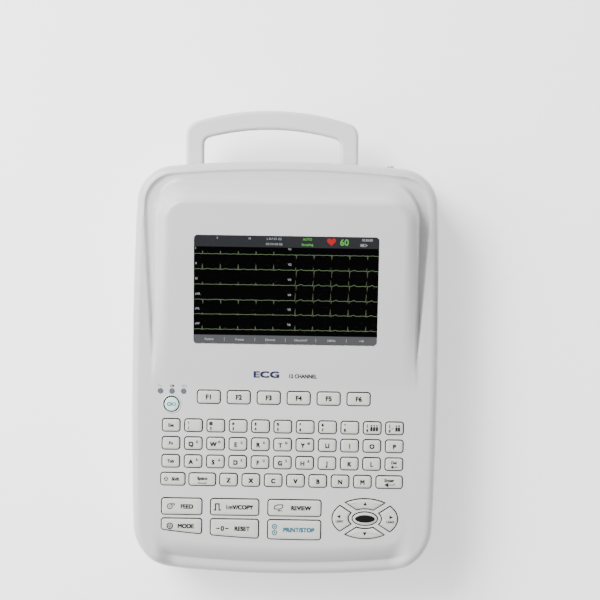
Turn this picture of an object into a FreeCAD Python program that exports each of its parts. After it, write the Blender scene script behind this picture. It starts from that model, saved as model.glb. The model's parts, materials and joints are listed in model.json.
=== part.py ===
import FreeCAD, Part
import Sketcher
import math
import os
import re

# Twelve-channel ECG machine: a flat portable recorder with a tilted colour screen, an
# alphanumeric rubber keypad, a pull-out carrying handle and a side-loading paper drawer
# with its thermal printer.  It lies on its feet.  +Z goes out of the front panel, +Y
# toward the handle and +X to the right of a person reading the screen.  Pieces are drawn
# about the middle of the housing, and piece() then moves them so that the origin is the
# middle of the whole machine's footprint, handle pulled out.

SIZES = {
    # housing in plan
    "body_wide": 258.0, "body_long": 351.0, "end_bow": 1000.0, "side_bow": 3800.0,
    "rear_corner": 32.0, "front_corner": 40.0,
    # housing heights and walls
    "foot_high": 2.0, "split_high": 34.0, "deck_high": 64.0, "wall": 2.6,
    "top_roll": 6.0, "bottom_roll": 5.0,
    # raised screen hood on the deck
    "hood_wide": 218.0, "hood_front": -15.0, "hood_run": 155.0, "hood_rise": 20.0,
    "hood_back": 17.0, "hood_flare": 0.12, "hood_corner": 14.0,
    # shallow channels that open beside the hood toward the rear
    "channel_deep": 2.4, "channel_back": 150.0, "channel_wide": 9.5,
    # lower step along the front edge
    "step_wide": 196.0, "step_fade": 14.0, "step_start": 27.0, "step_end": 11.0,
    "step_drop": 8.0,
    # screen, in the plane of the hood, measured up the slope from the hood's front edge
    "screen_wide": 153.7, "screen_tall": 92.0, "screen_mid": 83.3, "screen_corner": 3.0,
    "window_thick": 1.6, "window_sunk": 0.8, "window_gap": 0.2,
    "panel_margin": 6.0, "panel_thick": 6.0, "panel_gap": 0.2, "frame_rim": 4.0,
    # keys
    "key_proud": 0.8, "key_travel": 1.2, "key_gap": 0.55, "key_skirt": 1.0,
    "skirt_thick": 1.0, "skirt_gap": 0.2, "key_stem": 1.5, "key_corner": 2.2,
    "key_wide": 14.7, "key_tall": 10.5, "column_pitch": 18.83, "row_pitch": 15.23,
    "first_column": -95.1, "first_row": -47.5,
    "shift_wide": 20.3, "space_wide": 22.3, "enter_wide": 22.1,
    "menu_wide": 19.2, "menu_tall": 11.0, "menu_first": -63.7, "menu_pitch": 25.24,
    "menu_row": -23.2,
    "power_round": 6.2, "power_left": -95.0, "power_row": -29.7,
    "work_row": -116.4, "work_tall": 13.8, "low_row": -135.1, "low_tall": 16.8,
    "low_bow": 968.0, "low_at": 15.0, "low_edge": -143.3,
    "feed_at": -85.4, "feed_wide": 34.0, "copy_at": -40.6, "copy_wide": 40.6,
    "review_at": 9.9, "review_wide": 44.7,
    # ring of lead keys
    "ring_at": 69.5, "ring_row": -124.6, "ring_wide": 27.6, "ring_tall": 16.9,
    "eye_wide": 14.2, "eye_tall": 8.5, "dot_wide": 10.6, "dot_tall": 5.6,
    "ring_angle": 33.0, "ring_gap": 4.9,
    # lamps
    "lamp_round": 2.25, "lamp_first": -104.5, "lamp_pitch": 9.75, "lamp_row": -18.8,
    "lamp_gap": 0.15, "lamp_bar": 2.0,
    # keypad underneath
    "mat_thick": 0.8, "board_thick": 1.6, "keypad_left": -106.0, "keypad_right": 104.0,
    "keypad_low": -146.5, "keypad_high": -10.0,
    # handle
    "handle_wide": 145.8, "handle_at": -13.7, "handle_reach": 43.0, "handle_bow": 12.5,
    "grip_deep": 16.0, "leg_wide": 15.4, "leg_inside": 69.5, "handle_low": 37.0,
    "handle_thick": 11.0, "handle_gap": 0.6,
    "handle_outer": 12.0, "handle_inner": 6.0, "handle_edge": 3.0,
    "guide_floor": 1.6, "guide_rib": 2.0, "guide_front": 62.0, "guide_back": 164.0,
    # paper drawer
    "drawer_low": 6.0, "drawer_front": -89.5, "drawer_rear": 134.5, "drawer_gap": 0.4,
    "door_thick": 6.0, "tray_wall": 2.0, "tray_high": 31.5, "tray_right": 50.0,
    "paper_wide": 140.0, "paper_long": 210.0, "paper_thick": 14.0, "paper_gap": 1.0,
    "slot_high": 1.4,
    # printer
    "platen_at": -108.0, "platen_high": 25.6, "platen_round": 7.6, "core_round": 2.5,
    "bush_round": 4.0, "bush_flange": 5.2, "gear_tooth": 0.8, "gear_thick": 3.8,
    "platen_teeth": 18.0, "idler_teeth": 20.0, "pinion_teeth": 12.0, "mesh_gap": 0.15,
    "pinion_angle": 36.0, "idler_pin": 1.8, "motor_round": 10.0, "motor_long": 16.0,
    "motor_pin": 1.2, "bore_gap": 0.1,
    "head_wide": 10.0, "head_thick": 4.0, "head_gap": 0.3, "spring_high": 4.0,
    "bracket_thick": 1.2, "bracket_wide": 18.0,
    # drawer release
    "button_at": -102.5, "button_long": 20.0, "button_tall": 9.0, "button_high": 14.0,
    "button_proud": 1.3, "button_gap": 0.3, "plunger_end": -111.9,
    "lever_at": -109.0, "lever_back": -98.0, "lever_arm": 10.0, "lever_thick": 4.0,
    "lever_wide": 4.0, "lever_low": 10.0, "pivot_round": 2.0, "hook_gap": 0.3,
    "catch_at": -111.8, "catch_deep": 3.0,
    # plates and boards inside
    "plate_left": -94.0, "plate_right": 52.0, "plate_front": -140.0,
    "plate_low": 36.8, "plate_thick": 1.2, "main_low": 42.0, "post_round": 2.5,
    # power, in the right-hand bay
    "battery_at": 86.0, "battery_row": -78.0, "battery_wide": 50.0,
    "battery_long": 100.0, "battery_high": 22.0, "battery_gap": 0.5,
    "cover_margin": 3.0, "supply_at": 77.0, "supply_row": 28.0, "supply_wide": 42.0,
    "supply_long": 104.0,
    # connectors
    "inlet_at": 66.0, "inlet_high": 19.0, "inlet_wide": 27.6, "inlet_tall": 20.2,
    "inlet_deep": 24.0, "inlet_well": 15.0, "stud_at": 88.0, "stud_round": 3.0,
    "stud_out": 2.2,
    "socket_row": 30.0, "socket_high": 20.0, "socket_flange": 39.2, "socket_tall": 12.6,
    "socket_shell": 24.6, "shell_tall": 8.0, "screw_space": 33.3, "jack_bore": 1.42,
    "port_row": 93.0, "port_high": 15.0, "port_gap": 0.3,
    # fasteners, feet and speaker
    "boss_round": 4.2, "screw_round": 1.5, "screw_head": 2.9, "screw_long": 24.0,
    "foot_round": 8.0, "foot_inset_x": 100.0, "foot_inset_y": 140.0, "foot_deep": 0.8,
    "speaker_at": -40.0, "speaker_row": -131.0, "speaker_round": 18.0,
    "speaker_deep": 9.0, "slot_wide": 2.0, "slot_pitch": 5.0,
}

# Where the six housing screws stand, as x and y from the middle of the housing.
BOSSES = [(-118.0, -128.0), (119.0, -120.0), (119.0, -5.0), (0.0, -162.0),
          (-100.0, 162.0), (100.0, 162.0)]
# The alphanumeric rows, top to bottom, and the number of letter keys in the lowest one.
FULL_ROWS = ["digit_keys", "upper_letter_keys", "middle_letter_keys"]
COLUMNS = 11
LOW_LETTERS = 7

DOC = FreeCAD.newDocument("ecg_machine")
SHEET = DOC.addObject("Spreadsheet::Sheet", "Dims")
WORD = re.compile(r"[a-z]+(?:_[a-z]+)*")
TURNS = {
    "Z": FreeCAD.Rotation(),
    "X": FreeCAD.Rotation(FreeCAD.Vector(0, 1, 0), 90),
    "Y": FreeCAD.Rotation(FreeCAD.Vector(1, 0, 0), -90),
    "XY": FreeCAD.Rotation(),
    "XZ": FreeCAD.Rotation(FreeCAD.Vector(1, 0, 0), 90),
    "YZ": FreeCAD.Rotation(FreeCAD.Vector(1, 1, 1), 120),
}
PIECES = []


# ---------------------------------------------------------------- sheet and expressions

def fill_sheet():
    for row, (alias, value) in enumerate(SIZES.items(), 1):
        SHEET.set(f"A{row}", alias)
        SHEET.set(f"B{row}", str(value))
        SHEET.setAlias(f"B{row}", alias)
    DOC.recompute()


def formula(value):
    """Turn a size's name, a sum of them or a number into an expression on the sheet."""
    return WORD.sub(
        lambda found: f"Dims.{found[0]}" if found[0] in SIZES else found[0], str(value))


def bind(thing, prop, value):
    thing.setExpression(prop, formula(value))


def size(alias):
    return float(getattr(SHEET, alias))


def settle(thing):
    """Compute one object now, so that a later recompute of the document skips it."""
    thing.recompute()
    thing.purgeTouched()
    return thing


def put(thing, x, y, z, turn="Z"):
    thing.Placement = FreeCAD.Placement(FreeCAD.Vector(), TURNS[turn])
    for axis, value in zip("xyz", (x, y, z)):
        bind(thing, f"Placement.Base.{axis}", value)
    return settle(thing)


# ------------------------------------------------------------------------ basic solids

def box(x, y, z, wide, deep, high):
    """A block centred on x and y that stands on z."""
    block = DOC.addObject("Part::Box", "Block")
    bind(block, "Length", wide)
    bind(block, "Width", deep)
    bind(block, "Height", high)
    return put(block, f"{x} - ({wide}) / 2", f"{y} - ({deep}) / 2", z)


def span(x0, x1, y0, y1, z0, z1):
    """A block between two limits along each axis."""
    block = DOC.addObject("Part::Box", "Block")
    bind(block, "Length", f"({x1}) - ({x0})")
    bind(block, "Width", f"({y1}) - ({y0})")
    bind(block, "Height", f"({z1}) - ({z0})")
    return put(block, x0, y0, z0)


def rod(x, y, z, radius, length, along="Z"):
    cylinder = DOC.addObject("Part::Cylinder", "Rod")
    bind(cylinder, "Radius", radius)
    bind(cylinder, "Height", length)
    return put(cylinder, x, y, z, along)


def oval(x, y, z, half_wide, half_tall, high):
    ellipse = DOC.addObject("Part::Ellipse", "Oval")
    bind(ellipse, "MajorRadius", half_wide)
    bind(ellipse, "MinorRadius", half_tall)
    put(ellipse, x, y, z)
    return extrude(ellipse, high, (0, 0, 1))


def extrude(flat, length, direction):
    solid = DOC.addObject("Part::Extrusion", "Extrusion")
    solid.Base = flat
    solid.DirMode = "Custom"
    solid.Dir = FreeCAD.Vector(*direction)
    solid.Solid = True
    bind(solid, "LengthFwd", length)
    return settle(solid)


def outline(points, plane="XY", x="0", y="0", z="0", body=None):
    """A closed sketch through points, each held by its distances from the origin."""
    if body is None:
        sketch = DOC.addObject("Sketcher::SketchObject", "Outline")
        put(sketch, x, y, z, plane)
    else:
        sketch = body.newObject("Sketcher::SketchObject", "Outline")
        side = [o for o in body.Origin.OriginFeatures if o.Role == f"{plane}_Plane"][0]
        sketch.AttachmentSupport = [(side, "")]
        sketch.MapMode = "FlatFace"
    count = len(points)
    start = [FreeCAD.Vector(math.cos(2 * math.pi * k / count),
                            math.sin(2 * math.pi * k / count), 0) for k in range(count)]
    for k in range(count):
        sketch.addGeometry(Part.LineSegment(start[k], start[(k + 1) % count]), False)
    for k in range(count):
        sketch.addConstraint(Sketcher.Constraint("Coincident", k, 2, (k + 1) % count, 1))
    for k, (across, up) in enumerate(points):
        for kind, value in (("DistanceX", across), ("DistanceY", up)):
            number = sketch.addConstraint(Sketcher.Constraint(kind, -1, 1, k, 1, 1.0))
            bind(sketch, f"Constraints[{number}]", value)
    return settle(sketch)


# --------------------------------------------------------------- booleans and rounding

def pair(kind, base, tool):
    solid = DOC.addObject(kind, kind.split("::")[1])
    solid.Base = base
    solid.Tool = tool
    return settle(solid)


def cut(base, *tools):
    return pair("Part::Cut", base, join(*tools) if len(tools) > 1 else tools[0])


def common(base, tool):
    return pair("Part::Common", base, tool)


def join(*solids):
    union = DOC.addObject("Part::MultiFuse", "Union")
    union.Shapes = list(solids)
    return settle(union)


def group(*solids):
    """Solids kept side by side, not fused."""
    together = DOC.addObject("Part::Compound", "Group")
    together.Links = list(solids)
    return settle(together)


def rounded(base, radius, chosen):
    """Round the edges of base for which chosen(edge) is true."""
    fillet = DOC.addObject("Part::Fillet", "Rounded")
    fillet.Base = base
    numbers = [n for n, edge in enumerate(base.Shape.Edges, 1) if chosen(edge)]
    fillet.Edges = [(n, radius, radius) for n in numbers]
    return settle(fillet)


def upright(edge):
    return edge.BoundBox.ZLength > max(edge.BoundBox.XLength, edge.BoundBox.YLength) * 5


def pad(x, y, z, wide, tall, high, corner):
    """A block with rounded upright corners."""
    return rounded(box(x, y, z, wide, tall, high), corner, upright)


def piece(label, *solids):
    """Finish a named piece and move it into the frame of the whole machine."""
    made = DOC.addObject("Part::Compound", "Piece")
    made.Links = list(solids)
    made.Label = label
    put(made, 0, "-handle_reach / 2", 0)
    PIECES.append(made)
    return made


# ------------------------------------------------------------------------ housing form

def end_disc(x, y, bow, low, high):
    return rod(x, y, low, bow, f"({high}) - ({low})")


def body_form(inset, low, high):
    """The bowed plan of the housing, moved in by inset, between two heights."""
    ends = [f"{sign} (end_bow - body_long / 2)" for sign in ("", "-")]
    sides = [f"{sign} (side_bow - body_wide / 2)" for sign in ("", "-")]
    discs = [end_disc("0", y, f"end_bow - {inset}", low, high) for y in ends]
    discs += [end_disc(x, "0", f"side_bow - {inset}", low, high) for x in sides]
    form = discs[0]
    for disc in discs[1:]:
        form = common(form, disc)
    gone = size(inset) if inset in SIZES else 0.0
    rear = size("rear_corner") - gone
    front = size("front_corner") - gone
    form = rounded(form, rear, lambda e: upright(e) and e.CenterOfMass.y > 0)
    return rounded(form, front,
                   lambda e: upright(e) and e.CenterOfMass.y < 0 and e.Length > 1
                   and abs(e.CenterOfMass.x) > size("body_wide") / 2 - 8)


def at_height(level):
    return lambda edge: (edge.BoundBox.ZLength < 0.01
                         and abs(edge.CenterOfMass.z - level) < 0.01)


def hood_form(inset):
    """The raised screen deck: a ruled body through three level-topped sections."""
    foot = "(deck_high - 4 - {0})".format(inset)
    half = f"(hood_wide / 2 - {inset})"
    sections = []
    places = [("hood_front", "0"), ("(hood_front + hood_run)", "hood_rise"),
              (f"(hood_front + hood_run + hood_back - {inset})", "0")]
    for index, (where, rise) in enumerate(places):
        top = f"(deck_high - {inset} + {rise})"
        crown = half if index < 2 else f"({half} + hood_flare * hood_rise)"
        spread = f"({crown} + hood_flare * ({top} - {foot}))"
        ring = [(f"-{spread}", foot), (spread, foot), (crown, top), (f"-{crown}", top)]
        sections.append(outline(ring, "XZ", y=where))
    wedge = join(ruled(sections[:2]), ruled(sections[1:]))
    back = f"(hood_front + hood_run + hood_back - {inset})"
    wide = f"(hood_wide - 2 * {inset} + 2 * hood_flare * (hood_rise + 4))"
    gone = size(inset) if inset in SIZES else 0.0
    plan = pad("0", f"({back} - hood_run)", foot, wide, "2 * hood_run",
               "hood_rise + 12", size("hood_corner") - gone)
    return common(wedge, plan)


def ruled(sections):
    loft = DOC.addObject("Part::Loft", "Loft")
    loft.Sections = sections
    loft.Solid = True
    loft.Ruled = True
    return settle(loft)


def front_step(inset):
    """What is taken off along the front edge: a slope down to a lower ledge."""
    level = f"(deck_high - {inset})"
    front = "(0 - body_long / 2)"
    sections = []
    for sign, fade, drop in (("-", "step_fade", "0"), ("-", "0", "step_drop"),
                             ("", "0", "step_drop"), ("", "step_fade", "0")):
        low = f"({level} - {drop})"
        ring = [(f"({front} + step_start + 6 - {inset})", f"({level} + 4)"),
                (f"({front} + step_start - {inset})", level),
                (f"({front} + step_end - {inset})", low),
                (f"({front} - 5)", low),
                (f"({front} - 5)", f"({level} + 4)")]
        sections.append(outline(ring, "YZ", x=f"{sign}(step_wide / 2 + {fade})"))
    return join(*[ruled(sections[n:n + 2]) for n in range(3)])


def channels(inset):
    """The two shallow channels, three-cornered in plan, one on each side of the hood."""
    sides = []
    for sign in ("", "-"):
        near = f"({sign}1 * (hood_wide / 2 - 6 - {inset}))"
        tip = f"({sign}1 * (hood_wide / 2 + {inset}))"
        far = f"({sign}1 * (hood_wide / 2 + channel_wide + {inset}))"
        ring = [(near, f"(hood_front - {inset})"), (tip, f"(hood_front - {inset})"),
                (far, f"(channel_back + {inset})"), (near, f"(channel_back + {inset})")]
        flat = outline(ring, "XY", z=f"(deck_high - channel_deep - {inset})")
        sides.append(extrude(flat, f"channel_deep + {inset} + 5", (0, 0, 1)))
    return sides


def on_hood(*solids):
    """Move solids drawn in the plane of the hood's top onto the hood."""
    together = group(*solids)
    tilt = FreeCAD.Rotation(FreeCAD.Vector(1, 0, 0), 1)
    together.Placement = FreeCAD.Placement(FreeCAD.Vector(), tilt)
    bind(together, "Placement.Rotation.Angle", "atan(hood_rise / hood_run)")
    bind(together, "Placement.Base.y", "hood_front")
    bind(together, "Placement.Base.z", "deck_high")
    return settle(together)


FLOOR = "(foot_high + wall)"
REAR = "(body_long / 2)"
RIGHT = "(body_wide / 2)"
DECK_UNDER = "(deck_high - wall)"


def housing():
    outer = body_form("0", "foot_high", "deck_high")
    outer = rounded(outer, size("top_roll"), at_height(size("deck_high")))
    outer = rounded(outer, size("bottom_roll"), at_height(size("foot_high")))
    inner = body_form("wall", FLOOR, DECK_UNDER)
    top_block = join(cut(outer, front_step("0"), *channels("0")), hood_form("0"))
    top_space = join(cut(inner, front_step("wall"), *channels("wall")),
                     hood_form("wall"))
    above = span(f"-{RIGHT} - 5", f"{RIGHT} + 5", f"-{REAR} - 5", f"{REAR} + 5",
                 "split_high", "deck_high + hood_rise + 5")
    below = span(f"-{RIGHT} - 5", f"{RIGHT} + 5", f"-{REAR} - 5", f"{REAR} + 5",
                 "0", "split_high")
    upper = cut(common(top_block, above), top_space)
    lower = cut(common(outer, below), inner)
    return outer, upper, lower


# --------------------------------------------------------------------------- key layout

def row_key(column, row, wide="key_wide"):
    """A letter key: its centre, width, height and corner."""
    return (f"(first_column + column_pitch * {column})",
            f"(first_row - row_pitch * {row})", wide, "key_tall")


def letter_rows():
    rows = [(name, [row_key(c, r) for c in range(COLUMNS)])
            for r, name in enumerate(FULL_ROWS)]
    low = len(FULL_ROWS)
    line = f"(first_row - row_pitch * {low})"
    left = "(first_column - key_wide / 2"
    shift = (f"{left} + shift_wide / 2 - 0.8)", line, "shift_wide", "key_tall")
    space_at = f"{left} - 0.8 + shift_wide + 3.5 + space_wide / 2)"
    space = (space_at, line, "space_wide", "key_tall")
    enter_at = f"(first_column + column_pitch * {COLUMNS - 1} + key_wide / 2 - enter_wide / 2)"
    enter = (enter_at, line, "enter_wide", "key_tall")
    first = f"({space_at} + space_wide / 2 + 3.7 + key_wide / 2"
    letters = [(f"{first} + column_pitch * {n})", line, "key_wide", "key_tall")
               for n in range(LOW_LETTERS)]
    rows.append(("lower_letter_keys", [shift, space] + letters + [enter]))
    return rows


def menu_keys():
    return [(f"f{n + 1}_key",
             (f"(menu_first + menu_pitch * {n})", "menu_row", "menu_wide", "menu_tall"))
            for n in range(6)]


def work_keys():
    columns = [("feed_at", "feed_wide"), ("copy_at", "copy_wide"),
               ("review_at", "review_wide")]
    names = [["feed_key", "copy_key", "review_key"], ["mode_key", "reset_key", "print_key"]]
    rows = [("work_row", "work_tall"), ("low_row", "low_tall")]
    return [(names[r][c], (columns[c][0], rows[r][0], columns[c][1], rows[r][1]))
            for r in range(2) for c in range(3)]


KEY_TOP = "(deck_high + key_proud)"
SKIRT_TOP = f"({DECK_UNDER} - skirt_gap)"
SKIRT_LOW = f"({SKIRT_TOP} - skirt_thick)"
KEY_LOW = f"({SKIRT_LOW} - key_stem)"
MAT_TOP = f"({KEY_LOW} - key_travel - 0.2)"
BOARD_TOP = f"({MAT_TOP} - mat_thick)"


def key_block(key, grow, low, high):
    """A key's outline grown by a margin; the lowest row follows the front edge's bow."""
    x, y, wide, tall = key
    block = box(x, y, low, f"({wide} + 2 * {grow})", f"({tall} + 2 * {grow})", high)
    if y == "low_row":
        bow = rod("low_at", "low_edge + low_bow", low, f"low_bow + {grow}", high)
        block = common(block, bow)
    more = size(grow) if grow in SIZES else 0.0
    return rounded(block, size("key_corner") + more, upright)


def key_solid(key):
    """A key with its cap through the deck, a skirt below it and a stem to press with."""
    x, y, wide, tall = key
    cap = key_block(key, "0", SKIRT_LOW, f"({KEY_TOP} - {SKIRT_LOW})")
    cap = rounded(cap, 0.45, at_height(size("deck_high") + size("key_proud")))
    skirt = key_block(key, "key_skirt", SKIRT_LOW, "skirt_thick")
    stem = box(x, y, KEY_LOW, f"{wide} * 0.6", f"{tall} * 0.5", "key_stem + 0.5")
    return join(cap, skirt, stem)


def key_hole(key):
    return key_block(key, "key_gap", f"({DECK_UNDER} - 1)", "(wall + 3)")


def power_key():
    cap = rod("power_left", "power_row", SKIRT_LOW, "power_round",
              f"{KEY_TOP} - {SKIRT_LOW}")
    cap = rounded(cap, 0.45, at_height(size("deck_high") + size("key_proud")))
    skirt = rod("power_left", "power_row", SKIRT_LOW, "power_round + key_skirt",
                "skirt_thick")
    stem = rod("power_left", "power_row", KEY_LOW, "power_round * 0.6", "key_stem + 0.5")
    return join(cap, skirt, stem)


def ring_sector(turn, low, high, inner_grow, outer_grow):
    """One of the four lead keys, as the share of the oval ring beyond two diagonals."""
    outer = oval("ring_at", "ring_row", low, f"ring_wide + {outer_grow}",
                 f"ring_tall + {outer_grow}", f"{high} - {low}")
    eye = oval("ring_at", "ring_row", f"({low} - 1)", f"eye_wide - {inner_grow}",
               f"eye_tall - {inner_grow}", f"{high} - {low} + 2")
    # The wedge opens from a point beside the centre, so that a slit of ring_gap stays.
    rise = "tan(ring_angle * 1deg)"
    slit = f"(ring_gap / 2 - {outer_grow})"
    if turn in ("up", "down"):
        apex = f"({slit} / cos(ring_angle * 1deg))"
        far = "(ring_wide * 1.4)"
        top = f"({apex} + {far} * {rise})"
        sign = "" if turn == "up" else "-"
        ring = [("0", f"({sign}1 * {apex})"), (far, f"({sign}1 * {top})"),
                (f"(0 - {far})", f"({sign}1 * {top})")]
    else:
        apex = f"({slit} / sin(ring_angle * 1deg))"
        far = "(ring_wide * 1.4)"
        side = f"(({far} - {apex}) * {rise})"
        sign = "" if turn == "right" else "-"
        ring = [(f"({sign}1 * {apex})", "0"), (f"({sign}1 * {far})", side),
                (f"({sign}1 * {far})", f"(0 - {side})")]
    wedge = extrude(outline(ring, "XY", x="ring_at", y="ring_row", z=low),
                    f"{high} - {low}", (0, 0, 1))
    return common(cut(outer, eye), wedge)


def lead_key(turn):
    cap = ring_sector(turn, SKIRT_LOW, KEY_TOP, "0", "0")
    skirt = ring_sector(turn, SKIRT_LOW, SKIRT_TOP, "key_skirt", "key_skirt")
    across = {"up": ("0", "1"), "down": ("0", "-1"), "left": ("-1", "0"),
              "right": ("1", "0")}[turn]
    x = f"(ring_at + {across[0]} * (ring_wide + eye_wide) / 2)"
    y = f"(ring_row + {across[1]} * (ring_tall + eye_tall) / 2)"
    stem = rod(x, y, KEY_LOW, 2.5, "key_stem + 0.5")
    return join(cap, skirt, stem)


def lead_dot():
    cap = oval("ring_at", "ring_row", SKIRT_LOW, "dot_wide", "dot_tall",
               f"{KEY_TOP} - {SKIRT_LOW}")
    skirt = oval("ring_at", "ring_row", SKIRT_LOW, "dot_wide + key_skirt",
                 "dot_tall + key_skirt", "skirt_thick")
    stem = rod("ring_at", "ring_row", KEY_LOW, 3.0, "key_stem + 0.5")
    return join(cap, skirt, stem)


def deck_holes():
    holes = [key_hole(key) for _, keys in letter_rows() for key in keys]
    holes += [key_hole(key) for _, key in menu_keys() + work_keys()]
    low = f"({DECK_UNDER} - 1)"
    holes.append(rod("power_left", "power_row", low, "power_round + key_gap", "wall + 3"))
    for n in range(3):
        holes.append(rod(f"lamp_first + lamp_pitch * {n}", "lamp_row",
                         f"({low} - channel_deep)", "lamp_round + lamp_gap",
                         "wall + channel_deep + 3"))
    for turn in ("up", "down", "left", "right"):
        holes.append(ring_sector(turn, low, "(deck_high + 2)", "key_gap", "key_gap"))
    holes.append(oval("ring_at", "ring_row", low, "dot_wide + key_gap",
                      "dot_tall + key_gap", "wall + 3"))
    return holes


# ---------------------------------------------------------------------------- covers

def screen_block(grow, top, deep, corner):
    """A rounded plate under the hood's top, in the hood's plane."""
    return pad("0", "screen_mid", f"({top}) - ({deep})", f"(screen_wide + 2 * ({grow}))",
               f"(screen_tall + 2 * ({grow}))", deep, corner)


LEG_IN = f"({REAR} - leg_inside)"
HANDLE_TOP = "(handle_low + handle_thick)"


def handle_opening():
    half = "(handle_wide / 2 + handle_gap)"
    return span(f"handle_at - {half}", f"handle_at + {half}", f"{REAR} - 16",
                f"{REAR} + 5", "handle_low - handle_gap", f"{HANDLE_TOP} + handle_gap")


def top_cover(upper):
    window = on_hood(screen_block("0", "6", "16", size("screen_corner")))
    slot = span(f"-{RIGHT} - 2", f"-{RIGHT} + 6", "drawer_front", "drawer_rear",
                "split_high - 1", "split_high + slot_high")
    posts = [rod(x, y, "split_high", "boss_round",
                 f"{DECK_UNDER} + wall / 2 - split_high - {'step_drop' if x == 0 else '0'}")
             for x, y in BOSSES]
    bores = [rod(x, y, "split_high - 1", "screw_round", "14") for x, y in BOSSES]
    openings = group(window, handle_opening(), slot, *bores, *deck_holes())
    piece("top_cover", cut(join(upper, *posts), openings))


def door_opening(gap):
    return span(f"-{RIGHT} - 2", f"-{RIGHT} + 8", f"drawer_front + {gap}",
                f"drawer_rear - {gap}", f"drawer_low + {gap}", f"split_high + 1 - {gap}")


def bottom_cover(lower):
    posts = [rod(x, y, "foot_high + wall / 2", "boss_round",
                 "split_high - foot_high - wall / 2 - 0.2") for x, y in BOSSES]
    bores = [rod(x, y, "0", "screw_round + bore_gap", "split_high + 1") for x, y in BOSSES]
    heads = [rod(x, y, "0", "screw_head + bore_gap", "foot_high + 12") for x, y in BOSSES]
    # Low ribs beside the drawer guide it, clear of the latch and of the gears.
    ribs = [span(f"{MOTOR_X} + motor_round", "tray_right + 6", f"{y} - 1.4", f"{y} + 1.4",
                 "foot_high + wall / 2", "drawer_low + 10")
            for y in ("(drawer_front - 0.6)", "(drawer_rear - 2.4)")]
    ribs.append(span("tray_right + 2", "tray_right + 4", "drawer_front - 2",
                     "drawer_rear - 1", "foot_high + wall / 2", "drawer_low + 18"))
    pivot = rod("lever_at", "lever_back", "foot_high + wall / 2", "pivot_round",
                "lever_low + lever_thick + 2 - foot_high - wall / 2")
    idler_pin = rod(IDLER_X, GEAR_Y, "platen_high", "idler_pin", "gear_thick + 6", "Y")
    idler_wall = span(f"{IDLER_X} - 6", f"{MOTOR_X} + 12",
                      f"{GEAR_Y} + gear_thick + 1.2", f"{GEAR_Y} + gear_thick + 3.2",
                      "foot_high + wall / 2", "platen_high + 5")
    motor_hole = rod(MOTOR_X, f"{GEAR_Y} + gear_thick", MOTOR_Z, "4.2", "6", "Y")
    added = join(lower, *posts, *ribs, pivot, cut(idler_wall, motor_hole), idler_pin)
    recesses = [rod(x, y, "0", "foot_round + bore_gap", "foot_high + foot_deep")
                for x, y in foot_places()]
    grille = [box(f"speaker_at + slot_pitch * {n}", "speaker_row", "0", "slot_wide",
                  f"speaker_round * {1.5 - 0.16 * n * n}", f"{FLOOR} + 1")
              for n in (-2, -1, 0, 1, 2)]
    button = span(f"-{RIGHT} - 2", f"-{RIGHT} + 8",
                  "button_at - button_long / 2 - button_gap",
                  "button_at + button_long / 2 + button_gap",
                  "button_high - button_tall / 2 - button_gap",
                  "button_high + button_tall / 2 + button_gap")
    hatch = box("battery_at", "battery_row", "0", HATCH_WIDE, HATCH_LONG, f"{FLOOR} + 1")
    inlet = box("inlet_at", f"{REAR}", "inlet_high - inlet_tall / 2 - port_gap",
                "inlet_wide + 2 * port_gap", "20", "inlet_tall + 2 * port_gap")
    stud = rod("stud_at", f"{REAR} - 12", "inlet_high", "stud_round + bore_gap", "20", "Y")
    socket = box(f"{RIGHT}", "socket_row", "socket_high - socket_tall / 2 - port_gap",
                 "14", "socket_flange + 2 * port_gap", "socket_tall + 2 * port_gap")
    ports = [box(f"{RIGHT}", f"port_row + {y}", "port_high + board_thick - port_gap",
                 "14", f"{wide} + 2 * port_gap", f"{high} + 2 * port_gap")
             for y, wide, high in PORTS]
    shell = cut(added, group(*bores, *recesses, *grille, button, hatch, inlet, stud,
                             socket, *ports, door_opening("0")))
    piece("bottom_cover", cut(shell, group(*heads)))


HATCH_WIDE = "(battery_wide + 2 * cover_margin)"
HATCH_LONG = "(battery_long + 2 * cover_margin)"
# Ports on the right side: offset along the board, width and height.
PORTS = [(-24.0, 14.4, 7.2), (-4.0, 14.4, 7.2), (20.0, 16.4, 13.6)]
TRAY_REAR = "(drawer_rear - 6)"
GEAR_Y = f"({TRAY_REAR} + 1.1)"
IDLER_X = "(platen_at + gear_tooth * (platen_teeth + idler_teeth) / 2 + mesh_gap)"
PINION_REACH = "(gear_tooth * (idler_teeth + pinion_teeth) / 2 + mesh_gap)"
MOTOR_X = f"({IDLER_X} + {PINION_REACH} * cos(pinion_angle * 1deg))"
MOTOR_Z = f"(platen_high - {PINION_REACH} * sin(pinion_angle * 1deg))"


def foot_places():
    return [(f"{a} foot_inset_x", f"{b} foot_inset_y") for a in ("", "-")
            for b in ("", "-")]


def feet_and_screws():
    feet = [rod(x, y, "0", "foot_round", "foot_high + foot_deep - 0.05")
            for x, y in foot_places()]
    piece("rubber_feet", *[rounded(f, 0.7, at_height(0)) for f in feet])
    screws = []
    for x, y in BOSSES:
        head = rod(x, y, "foot_high + 12 - 2.2", "screw_head", "2.2")
        shank = rod(x, y, "foot_high + 12 - 0.1", "screw_round - 0.05", "screw_long")
        recess = box(x, y, "foot_high + 12 - 2.3", "4.4", "0.9", "1.2")
        cross = box(x, y, "foot_high + 12 - 2.3", "0.9", "4.4", "1.2")
        screws.append(cut(join(head, shank), recess, cross))
    piece("housing_screws", *screws)


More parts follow.
